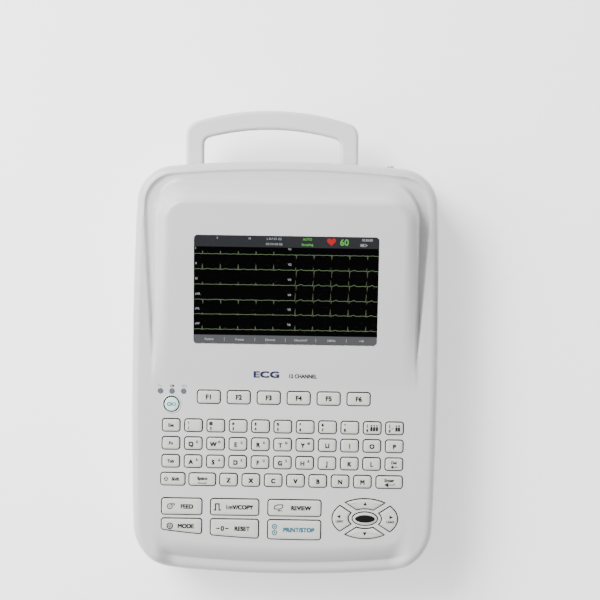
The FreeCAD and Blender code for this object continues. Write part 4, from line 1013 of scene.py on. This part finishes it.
def key_skin(pile, ring, sizes, top, deck, wall):
    """One rubber key: skirt under the deck, wall, rolled shoulder and a low dome; the skirt, wall
    and lower shoulder are near-black as painted shade.
    """
    middle = middle_of(ring)
    skirt_top = deck - wall - 0.2 * MM
    skirt_low = skirt_top - 1.0 * MM
    wide = grown(ring, 0.9 * MM)
    base = top - sizes.shoulder
    rings = [[Vector((*p, skirt_low)) for p in wide], [Vector((*p, skirt_top)) for p in wide],
             [Vector((*p, skirt_top)) for p in ring], [Vector((*p, base)) for p in ring]]
    for step in range(1, 6):
        turn = math.pi / 2 * step / 5
        edge = grown(ring, -sizes.shoulder * (1 - math.cos(turn)))
        rings.append([Vector((*p, base + sizes.shoulder * math.sin(turn))) for p in edge])
    edge = [Vector(p[:2]) for p in rings[-1]]
    for share, up in ((0.93, 0.45), (0.84, 0.8), (0.72, 1.0), (0.35, 1.0)):
        rings.append([Vector((*(middle + (p - middle) * share), top + sizes.dome * up))
                      for p in edge])
    # the skirt, the wall and the first steps of the shoulder take the second, near-black material:
    # painted shade for the shadowed gap round each key
    pile.rings(rings, lambda level: 1 if level < 6 else 0)


def body_of(name):
    return frame["nodes"][name]["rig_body"]


class ECG_OT_keys(bpy.types.Operator):
    """Mould every silicone key over the outline of its cap"""

    bl_idname = "ecg.keys"
    bl_label = "Keys"

    def execute(self, context):
        sizes, cover = context.scene.ecg_keys, context.scene.ecg_cover
        power = moulded("power_rubber", context.scene.ecg_finish.power, 0.45, 0.03, 3200.0)
        for name in ALL_KEYS:
            pile = Pile()
            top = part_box(name)[1].z
            for ring in cap_outlines(name):
                key_skin(pile, ring, sizes, top, cover.deck, cover.wall)
            if not pile.faces:
                raise RuntimeError(f"no cap outline was found on {name}")
            face = power if name == "power_key" else key_rubber()
            # the near-black second material is painted shade on each key's skirt, wall and lower
            # shoulder
            made = smooth(pile.build(name.replace("_key", "_rubber"), face, dark_rubber()), 50)
            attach(made, body_of(name))
            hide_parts(name)
        return {"FINISHED"}


ROW_WORDS = {
    "digit_keys": ["Esc", "!1", "@2", "#3", "$4", "%5", "^6", "&7", "*8", "(9", ")0"],
    "upper_letter_keys": ["Fn"] + list("QWERTYUIOP"),
    "middle_letter_keys": ["Tab"] + list("ASDFGHJKL") + ["Del"],
    "lower_letter_keys": ["Shift", "Space"] + list("ZXCVBNM") + ["Enter"],
}
ACCENTS = dict(zip("QWERTYASDFGH", "ÄÖÇÅÑØÀÁÉÜŠÂ"))

SHIFT_ARROW = [(-1.7, 0), (0, 1.8), (1.7, 0), (0.8, 0), (0.8, -1.6), (-0.8, -1.6), (-0.8, 0)]
SPACE_CUP = [(-3.2, -2.2), (-3.2, -3.2), (3.2, -3.2), (3.2, -2.2)]
PERSON = [(-1.0, -2.6), (1.0, -2.6), (1.0, 0.5), (0.5, 1.0), (-0.5, 1.0), (-1.0, 0.5)]
PULSE = [(-3.2, -2.6), (-1.6, -2.6), (-1.6, 2.6), (1.4, 2.6), (1.4, -2.6), (3.2, -2.6)]
SHEET = [(-3.4, 1.4), (-0.6, 2.6), (3.4, 2.6), (3.4, 0.2), (0.6, -1.0), (-3.4, -1.0)]


def shifted(points, x, y=0.0):
    return [(a + x, b + y) for a, b in points]


def letter_legend(printed, text, sizes):
    """The legend of one letter key, drawn about its middle."""
    letter, word = sizes.letter / MM, sizes.word / MM
    small = letter * 0.62
    if text in ("Esc", "Fn", "Tab"):
        printed.word(text, 0, 0, word)
    elif text == "Del":
        printed.word(text, 0, 1.4, word * 0.9)
        printed.arrow(0, -2.3, 6.2, 0.75)
    elif text == "Shift":
        printed.line(shifted(SHIFT_ARROW, -5.8), 0.65, closed=True)
        printed.word(text, 2.2, 0, word)
    elif text == "Space":
        printed.word(text, 0, 1.0, word)
        printed.line(SPACE_CUP, 0.65)
    elif text == "Enter":
        printed.word(text, 0, 1.5, word)
        printed.arrow(0, -2.3, 8.4, 0.75)
        printed.line([(4.2, -2.3), (4.2, -0.9)], 0.75)
    elif len(text) == 2:
        printed.word(text[0], -4.2, 2.1, small, 0.10)
        printed.word(text[1], -4.2, -2.2, small, 0.10)
        if text == "(9":
            people(printed, -0.7, 1.6, 3.9)
        elif text == ")0":
            people(printed, 1.5, 3.7)
            printed.arrow(-1.9, -0.2, 2.4, 0.45)
    elif text in ACCENTS:
        printed.word(text, -1.9, -0.5, letter)
        printed.word(ACCENTS[text], 3.1, 1.3, small * 0.85, 0.08)
    else:
        printed.word(text, 0, -0.4, letter)


def people(printed, *places):
    """A row of little standing people, for the patient list."""
    for x in places:
        printed.lay(circle(x, 2.0, 0.75, 14))
        printed.lay(shifted(PERSON, x))


def feed_icon(printed, x):
    printed.line(circle(x - 0.6, 0, 2.1, 24), 0.8, closed=True)
    printed.lay(circle(x - 0.6, 0, 0.7, 16))
    printed.line([(x - 0.6, 2.1), (x + 3.2, 2.1), (x + 3.2, 0.6)], 0.8)


def pulse_icon(printed, x):
    printed.line(shifted(PULSE, x), 1.1)


def review_icon(printed, x):
    printed.line(shifted(SHEET, x), 0.8, closed=True)
    printed.arrow(x + 1.0, -2.4, 4.2, 0.75)


def mode_icon(printed, x):
    printed.line(circle(x, 0, 2.4, 26), 0.8, closed=True)
    printed.line(circle(x, 0, 0.9, 16), 0.6, closed=True)
    for n in range(6):
        turn = math.pi / 3 * n + 0.3
        spoke = Vector((math.cos(turn), math.sin(turn)))
        middle = Vector((x, 0))
        printed.line([middle + spoke * 1.3, middle + spoke * 2.2], 0.6)


def reset_icon(printed, x):
    printed.word("0", x, 0, 4.0, 0.06)
    printed.arrow(x - 3.7, 0, -3.6, 0.9)
    printed.arrow(x + 3.7, 0, 3.6, 0.9)


def print_icon(printed, x):
    printed.line(circle(x, 2.6, 1.9, 22), 0.8, closed=True)
    printed.lay(rounded_box(x, 2.6, 1.5, 1.5, 0.3, 3))
    printed.line(circle(x, -2.6, 1.9, 22), 0.8, closed=True)
    printed.lay(shifted([(-0.7, -1.1), (1.2, 0), (-0.7, 1.1)], x, -2.6))


WORK_LEGENDS = {
    "feed_key": (feed_icon, "FEED", -9.4, 4.4), "copy_key": (pulse_icon, "1mV/COPY", -14.6, 3.8),
    "review_key": (review_icon, "REVIEW", -13.4, 5.4), "mode_key": (mode_icon, "MODE", -9.8, 3.6),
    "reset_key": (reset_icon, "RESET", -10.2, 6.4),
    "print_key": (print_icon, "PRINT/STOP", -16.6, 3.8),
}


class ECG_OT_legends(bpy.types.Operator):
    """Print the legends on the keys"""

    bl_idname = "ecg.legends"
    bl_label = "Key legends"

    def execute(self, context):
        sizes, look = context.scene.ecg_keys, context.scene.ecg_finish
        self.inks = [ink("legend_ink", look.ink), ink("teal_ink", look.teal)]
        for name in KEY_ROWS:
            printed = self.start(name)
            for text, ring in zip(ROW_WORDS[name], cap_outlines(name)):
                printed.centre = middle_of(ring)
                letter_legend(printed, text, sizes)
            self.finish(printed, name)
        for name in MENU:
            printed = self.start(name)
            printed.word(name[:2].upper(), 0, 0, 3.9, 0.07)
            self.finish(printed, name)
        for name, (icon, text, icon_at, word_at) in WORK_LEGENDS.items():
            printed = self.start(name)
            printed.mark = 1 if name == "print_key" else 0
            icon(printed, icon_at)
            printed.word(text, word_at, 0, sizes.work / MM)
            self.finish(printed, name)
        self.lead_legends()
        self.lead_oval()
        self.power_legend()
        return {"FINISHED"}

    @staticmethod
    def top(name):
        """The height just over a key's dome."""
        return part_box(name)[1].z + bpy.context.scene.ecg_keys.dome + 0.04 * MM

    def start(self, name):
        """Printing on top of a key, about the middle of its first cap."""
        printed = Print(self.top(name))
        printed.centre = middle_of(cap_outlines(name)[0])
        return printed

    def finish(self, printed, name, slot="key_rubber"):
        printed.build(name.replace("_key", "_legend"), body_of(name), slot, *self.inks)

    def lead_legends(self):
        for turn, (dx, dy) in {"up": (0, 1), "down": (0, -1), "left": (-1, 0),
                               "right": (1, 0)}.items():
            name = f"lead_{turn}_key"
            printed = self.start(name)
            x, rise = 2.2 * dx, (1.6 if dx else 0.4 * dy)
            long, half = 2.0, 1.7
            back = Vector((x - dx * long * 0.6, rise - dy * long * 0.6))
            side = Vector((-dy, dx)) * half
            printed.lay([(x + dx * long, rise + dy * long), back + side, back - side])
            if dx:
                printed.word("LEAD", x - 0.4 * dx, -2.4, 1.9, 0.08)
            self.finish(printed, name)

    def lead_oval(self):
        """The black domed oval on the centre key."""
        low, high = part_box("lead_centre_key")
        x, y = (low.x + high.x) / 2, (low.y + high.y) / 2
        base = self.top("lead_centre_key") - 0.06 * MM
        levels = ((1.0, 0.0), (0.99, 0.25), (0.95, 0.42), (0.8, 0.52), (0.45, 0.56))
        oval = [Vector((8.4 * p.x, 3.2 * p.y)) * MM for p in circle(0.0, 0.0, 1.0, 64)]
        pile = Pile()
        pile.rings([[Vector((x + share * p.x, y + share * p.y, base + up * MM))
                     for p in oval] for share, up in levels])
        black = moulded("oval_button", (0.003, 0.003, 0.0035), 0.4, 0.05, 3000.0,
                        **{"Specular IOR Level": 0.15})
        made = smooth(pile.build("lead_oval", black), 60)
        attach(made, body_of("lead_centre_key"))

    def power_legend(self):
        printed = self.start("power_key")
        printed.mark = 1
        printed.line(circle(-2.0, 0, 1.5, 20), 0.7, closed=True)
        printed.lay(circle(-2.0, 0, 0.5, 12))
        printed.line([(-0.5, -1.3), (0.5, 1.3)], 0.6)
        open_half = 0.55
        printed.line([(2.0 + 1.5 * math.sin(a), 1.5 * math.cos(a))
                      for a in [open_half + (2 * math.pi - 2 * open_half) * n / 18
                                for n in range(19)]], 0.7)
        printed.line([(2.0, 0.1), (2.0, 1.6)], 0.7)
        self.finish(printed, "power_key", "power_rubber")


# ---------------------------------------------------------------------------- screen

WINDOW_WIDE, WINDOW_TALL = 153.7, 92.0
BEATS = ((0.045, 0.142, 0.239, 0.335, 0.431), (0.551, 0.647, 0.743, 0.840, 0.937))
LEVELS = (0.175, 0.315, 0.455, 0.595, 0.730, 0.870)
# name, then the heights of the R, S and T waves in millimetres, down one column then the other
LEADS = (("I", 2.6, 0.0, 0.3), ("II", 4.4, -0.4, 0.6), ("III", 1.8, -0.3, 0.2),
         ("aVR", 0.3, -3.4, -0.4), ("aVL", 0.9, -0.3, 0.0), ("aVF", 2.8, -0.3, 0.3),
         ("V1", 0.5, -3.2, 0.3), ("V2", 2.4, -6.0, 0.8), ("V3", 4.6, -4.4, 1.2),
         ("V4", 6.8, -2.0, 1.1), ("V5", 5.6, -0.8, 0.9), ("V6", 3.8, -0.3, 0.6))
SOFTKEYS = ("Patient", "Freeze", "25mm/s", "10mm/mV", "100Hz", "")
DARK_BAR, LIGHT_BAR, WHITE, TRACE, GREEN, RED = range(6)
STATUS = (("F", 0.125, 0.030, 1.7, WHITE), ("M", 0.300, 0.030, 1.7, WHITE),
          ("L R F C1 C2", 0.432, 0.030, 1.7, WHITE), ("C3 C4 C5 C6", 0.432, 0.078, 1.7, WHITE),
          ("AUTO", 0.612, 0.030, 1.9, GREEN), ("Sampling", 0.612, 0.078, 1.9, GREEN),
          ("60", 0.812, 0.053, 5.2, GREEN), ("10:30:00", 0.935, 0.030, 1.9, WHITE))


def at(across, down):
    """A place on the screen, in millimetres from its middle, from shares of its sides."""
    return Vector((WINDOW_WIDE * (across - 0.5), WINDOW_TALL * (0.5 - down)))


def heart_outline(middle, size):
    turns = [2 * math.pi * n / 40 for n in range(40)]
    heart = [middle + Vector((
        16 * math.sin(t) ** 3,
        13 * math.cos(t) - 5 * math.cos(2 * t) - 2 * math.cos(3 * t) - math.cos(4 * t) + 2))
        * size for t in turns]
    return heart[::-1]


class ECG_OT_screen(bpy.types.Operator):
    """Lay out the picture on the display behind the window"""

    bl_idname = "ecg.screen"
    bl_label = "Screen picture"

    def execute(self, context):
        place = window_place(context.scene.ecg_cover)
        face = -2.76 * MM
        sheet = Print(face, place)
        sheet.lay(rounded_box(0, 0, 154.5, 92.8, 3.0))
        sheet.build("screen_picture", "housing", "display",
                    panel_black("picture_black", 1.2 * MM))
        tints = [glowing("bar_dark", (0.052, 0.053, 0.058)),
                 glowing("bar_light", (0.16, 0.162, 0.168)),
                 glowing("screen_words", (0.62, 0.64, 0.66)),
                 glowing("trace", context.scene.ecg_finish.trace),
                 glowing("green_words", (0.18, 0.72, 0.13)),
                 glowing("heart_red", (0.80, 0.03, 0.035), 1.1)]
        bars = Print(face + 0.06 * MM, place)
        past = WINDOW_WIDE / 2 + 0.4
        for top, base, mark in ((0.0, 0.108, DARK_BAR), (0.922, 1.0, LIGHT_BAR)):
            low, high = at(0, base).y, at(0, top).y
            bars.mark = mark
            bars.lay([(-past, low), (past, low), (past, high), (-past, high)])
        bars.height += 0.05 * MM
        self.softkeys(bars)
        self.status(bars)
        self.traces(bars)
        bars.build("screen_marks", "housing", "display", *tints)
        return {"FINISHED"}

    @staticmethod
    def softkeys(bars):
        bars.mark = WHITE
        for n, text in enumerate(SOFTKEYS):
            x, y = at((n + 0.5) / len(SOFTKEYS), 0.961)
            if text:
                bars.word(text, x, y, 1.9, 0.03)
            else:
                bars.arrow(x, y, -4.4, 0.5)
            if n:
                x = at(n / len(SOFTKEYS), 0).x
                bars.line([(x, y - 1.5), (x, y + 1.5)], 0.35)

    @staticmethod
    def status(bars):
        for text, across, down, capital, mark in STATUS:
            bars.mark = mark
            bars.word(text, *at(across, down), capital, 0.03)
        bars.mark = RED
        bars.lay(heart_outline(at(0.742, 0.053), 0.23))
        bars.mark = WHITE
        x, y = at(0.915, 0.078)
        bars.line(rounded_box(x, y, 4.6, 2.0, 0.3, 2), 0.35, closed=True)
        bars.lay(rounded_box(x - 0.6, y, 2.4, 1.1, 0.2, 2))
        bars.lay(rounded_box(x + 2.9, y, 0.7, 1.0, 0.1, 2))

    @staticmethod
    def traces(bars):
        for n, (name, r_wave, s_wave, t_wave) in enumerate(LEADS):
            column, level = divmod(n, len(LEVELS))
            base = LEVELS[level]
            wave = ((-4.6, 0.0), (-3.9, 0.30), (-3.1, 0.35), (-2.3, 0.0), (-0.75, 0.0),
                    (-0.5, -0.25), (0.0, r_wave), (0.45, s_wave), (0.85, 0.0), (2.6, 0.0),
                    (3.8, t_wave * 0.7), (4.7, t_wave), (5.4, t_wave * 0.6), (6.2, 0.0))
            path = [at(0.5 * column, base)]
            for across in BEATS[column]:
                path += shifted(wave, *at(across, base))
            path.append(at(0.497 + 0.503 * column, base))
            bars.mark = WHITE
            bars.word(name, *at(0.006 + 0.503 * column, base - 0.052), 1.8, 0.02, align="LEFT")
            bars.mark = TRACE
            bars.line(path, 0.25)


# ------------------------------------------------------------------- marks on the deck

class ECG_OT_deck_marks(bpy.types.Operator):
    """Print the marks on the deck and fit the ring round the power key"""

    bl_idname = "ecg.deck_marks"
    bl_label = "Deck marks"

    def execute(self, context):
        look, cover = context.scene.ecg_finish, context.scene.ecg_cover
        inks = [ink("legend_ink", look.ink), ink("name_ink", look.mark)]
        form = CoverForm(cover, Plan(cover))

        def place(point):
            return point + Vector((0.0, 0.0, form.height(point[0], point[1] - MIDDLE.y)))

        printed = Print(0.05 * MM, place)
        for mark, (x, y, _) in zip((self.mains_mark, self.charge_mark, self.battery_mark),
                                   lamp_spots()):
            printed.centre = Vector((x, y + 4.4 * MM))
            mark(printed)
        printed.build("lamp_marks", "housing", "housing_plastic", *inks)
        self.name_mark(cover, inks)
        self.power_ring(cover)
        return {"FINISHED"}

    @staticmethod
    def mains_mark(printed):
        wave = [(-2.0, 0.0), (-1.4, 0.5), (-0.7, 0.5), (0.1, -0.5), (0.8, -0.5), (1.5, 0.1)]
        printed.line(wave, 0.35)

    @staticmethod
    def charge_mark(printed):
        printed.line(rounded_box(0, 0, 3.2, 1.5, 0.2, 2), 0.4, closed=True)
        printed.lay(rounded_box(0.6, 0, 1.5, 0.9, 0.1, 2))

    @staticmethod
    def battery_mark(printed):
        printed.line([(-2.6, 0), (-0.9, 0)], 0.3)
        printed.line(rounded_box(0.9, 0, 3.0, 1.5, 0.2, 2), 0.3, closed=True)

    @staticmethod
    def name_mark(cover, inks):
        """A plain generic mark on the foot of the hood."""
        foot = Vector((0.0, MIDDLE.y + cover.hood_front, cover.deck))
        printed = Print(0.06 * MM, sloped(foot, cover))
        printed.mark = 1
        printed.word("ECG", -15.5, 11.6, 5.0, 0.085, 1.62)
        printed.mark = 0
        printed.word("12 CHANNEL", 15.0, 10.5, 3.2, 0.06, 0.88)
        printed.build("name_mark", "housing", "housing_plastic", *inks)

    @staticmethod
    def power_ring(cover):
        low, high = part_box("power_key")
        x, y = (low.x + high.x) / 2, (low.y + high.y) / 2
        profile = ((6.95, -1.0), (6.95, 0.30), (7.15, 0.50), (7.6, 0.52), (8.0, 0.34),
                   (8.2, 0.02), (8.2, -0.06))
        around = 72
        points = [Vector((p.x, p.y, cover.deck + z * MM))
                  for r, z in profile for p in circle(x, y, r * MM, around)]
        faces = []
        for level in range(len(profile)):
            after = (level + 1) % len(profile)
            for i in range(around):
                j = (i + 1) % around
                faces.append((level * around + i, after * around + i, after * around + j,
                              level * around + j))
        made = make_object("power_ring", points, faces)
        made.data.materials.append(housing_plastic())
        smooth(made, 40)
        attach(made, "housing")


# -------------------------------------------------------------------------- finishes

class ECG_OT_finishes(bpy.types.Operator):
    """Give every carried-over part its finish"""

    bl_idname = "ecg.finishes"
    bl_label = "Part finishes"

    def execute(self, context):
        look = context.scene.ecg_finish
        housing = housing_plastic()
        handle = moulded("handle_plastic", look.handle, 0.34, 0.02, 2200.0, 0.05, 0.10)
        dark = dark_rubber()
        black = moulded("black_plastic", (0.018, 0.018, 0.019), 0.42, 0.08, 2400.0)
        steel = metal("zinc_steel", (0.55, 0.56, 0.57), 0.34)
        aluminium = metal("aluminium", (0.72, 0.73, 0.74), 0.30, 0.08)
        brass = metal("brass", (0.72, 0.52, 0.22), 0.28, 0.08)
        gear = moulded("gear_plastic", (0.74, 0.71, 0.62), 0.4, 0.04, 1800.0)
        roller = moulded("roller_rubber", (0.045, 0.045, 0.048), 0.62, 0.08, 2600.0)
        green = board("board")
        lens = moulded("lamp_lens", look.lamp, 0.16, 0.05, 900.0, 0.03, 0.04,
                       **{"Coat Weight": 0.6, "Coat Roughness": 0.08})
        finishes = {
            "bottom_cover": housing, "battery_cover": housing, "drawer_front": housing,
            "drawer_tray": housing, "release_button": housing, "carry_handle": handle,
            "rubber_feet": moulded("foot_rubber", (0.05, 0.05, 0.052), 0.75, 0.1, 1500.0),
            "housing_screws": steel, "screen_window": glass("window"),
            "display_panel": black, "display_frame": steel, "keypad_mat": dark,
            "keypad_board": green, "light_pipes": lens, "handle_guide": black,
            "print_head": aluminium, "head_springs": steel, "head_bracket": steel,
            "feed_motor": steel, "chassis_plate": steel, "main_board": green,
            "ecg_amplifier": green,
            "battery_pack": moulded("battery_wrap", (0.03, 0.06, 0.16), 0.4, 0.08, 900.0),
            "power_supply": green, "speaker": black, "mains_inlet": black,
            "ground_stud": steel, "patient_socket": steel, "port_board": steel,
            "paper_pack": paper("paper"), "platen_bushes": brass, "platen_roller": roller,
            "platen_shaft": steel, "platen_gear": gear, "idler_gear": gear,
            "motor_pinion": brass, "latch_lever": gear,
        }
        replaced = set(ALL_KEYS) | {"top_cover"}
        missing = set(frame["nodes"]) - replaced - set(finishes)
        if missing:
            raise RuntimeError(f"these parts have no finish: {sorted(missing)}")
        for name, material in finishes.items():
            finish_node(name, material)
        return {"FINISHED"}


# ----------------------------------------------------------------------------- stage

def studio_light(name, place, aim, size, power):
    data = bpy.data.lights.new(name, "AREA")
    data.shape = "RECTANGLE"
    data.size, data.size_y = size
    data.energy = power
    light = bpy.data.objects.new(name, data)
    light.location = place
    light.rotation_euler = (aim - Vector(place)).to_track_quat("-Z", "Y").to_euler()
    bpy.context.scene.collection.objects.link(light)


class ECG_OT_stage(bpy.types.Operator):
    """Set the floor, the soft studio light and the camera"""

    bl_idname = "ecg.stage"
    bl_label = "Stage"

    def execute(self, context):
        scene, sizes = context.scene, context.scene.ecg_stage
        half = sizes.floor / 2
        floor = make_object("floor", [(-half, -half, 0), (half, -half, 0), (half, half, 0),
                                      (-half, half, 0)], [(0, 1, 2, 3)])
        floor.data.materials.append(
            moulded("floor_paint", (0.93, 0.93, 0.93), 0.8, 0.004, 400.0, 0.02, 0.02,
                    **{"Emission Color": (1, 1, 1, 1), "Emission Strength": 0.6}))
        world = bpy.data.worlds.new("studio")
        world.use_nodes = True
        world.node_tree.nodes["Background"].inputs["Color"].default_value = (1, 1, 1, 1)
        world.node_tree.nodes["Background"].inputs["Strength"].default_value = 0.82
        scene.world = world
        aim = Vector((sizes.aim_x, sizes.aim_y, context.scene.ecg_cover.deck))
        studio_light("key_light", (-1.4, 1.5, 1.8), aim, (1.3, 1.3), 165.0)
        studio_light("left_light", (-0.95, 0.1, 0.75), aim, (0.8, 0.8), 14.0)
        data = bpy.data.cameras.new("camera")
        data.lens = data.sensor_width * sizes.away / sizes.seen
        data.clip_start, data.clip_end = 0.05, 30.0
        camera = bpy.data.objects.new("camera", data)
        scene.collection.objects.link(camera)
        back = Vector((0.0, math.sin(sizes.pitch), math.cos(sizes.pitch)))
        up = Vector((-math.sin(sizes.turn), math.cos(sizes.turn), 0.0))
        side = up.cross(back).normalized()
        up = back.cross(side)
        turn = Matrix((side, up, back)).transposed()
        camera.matrix_world = Matrix.LocRotScale(aim + back * sizes.away, turn, None)
        scene.camera = camera
        return {"FINISHED"}


# ------------------------------------------------------------------ panel and running

OPERATORS = (ECG_OT_top_cover, ECG_OT_keys, ECG_OT_legends, ECG_OT_screen,
             ECG_OT_deck_marks, ECG_OT_finishes, ECG_OT_stage)
GROUPS = {"ecg_cover": ECG_PG_cover, "ecg_keys": ECG_PG_keys, "ecg_finish": ECG_PG_finish,
          "ecg_stage": ECG_PG_stage}


class ECG_PT_panel(bpy.types.Panel):
    """Lists the build steps and the sizes they use"""

    bl_idname = "ECG_PT_panel"
    bl_label = "ECG machine"
    bl_space_type = "VIEW_3D"
    bl_region_type = "UI"
    bl_category = "ECG machine"

    def draw(self, context):
        for operator in OPERATORS:
            self.layout.operator(operator.bl_idname)
        for name, group in GROUPS.items():
            settings = getattr(context.scene, name)
            column = self.layout.column(align=True)
            for key in group.__annotations__:
                column.prop(settings, key)


def register():
    for part in (*GROUPS.values(), *OPERATORS, ECG_PT_panel):
        bpy.utils.register_class(part)
    for name, group in GROUPS.items():
        setattr(bpy.types.Scene, name, PointerProperty(type=group))


def unregister():
    for name in GROUPS:
        delattr(bpy.types.Scene, name)
    for part in reversed((*GROUPS.values(), *OPERATORS, ECG_PT_panel)):
        bpy.utils.unregister_class(part)


def main():
    register()
    bpy.ops.ecg.top_cover()
    bpy.ops.ecg.keys()
    bpy.ops.ecg.legends()
    bpy.ops.ecg.screen()
    bpy.ops.ecg.deck_marks()
    bpy.ops.ecg.finishes()
    bpy.ops.ecg.stage()


if __name__ == "__main__":
    main()
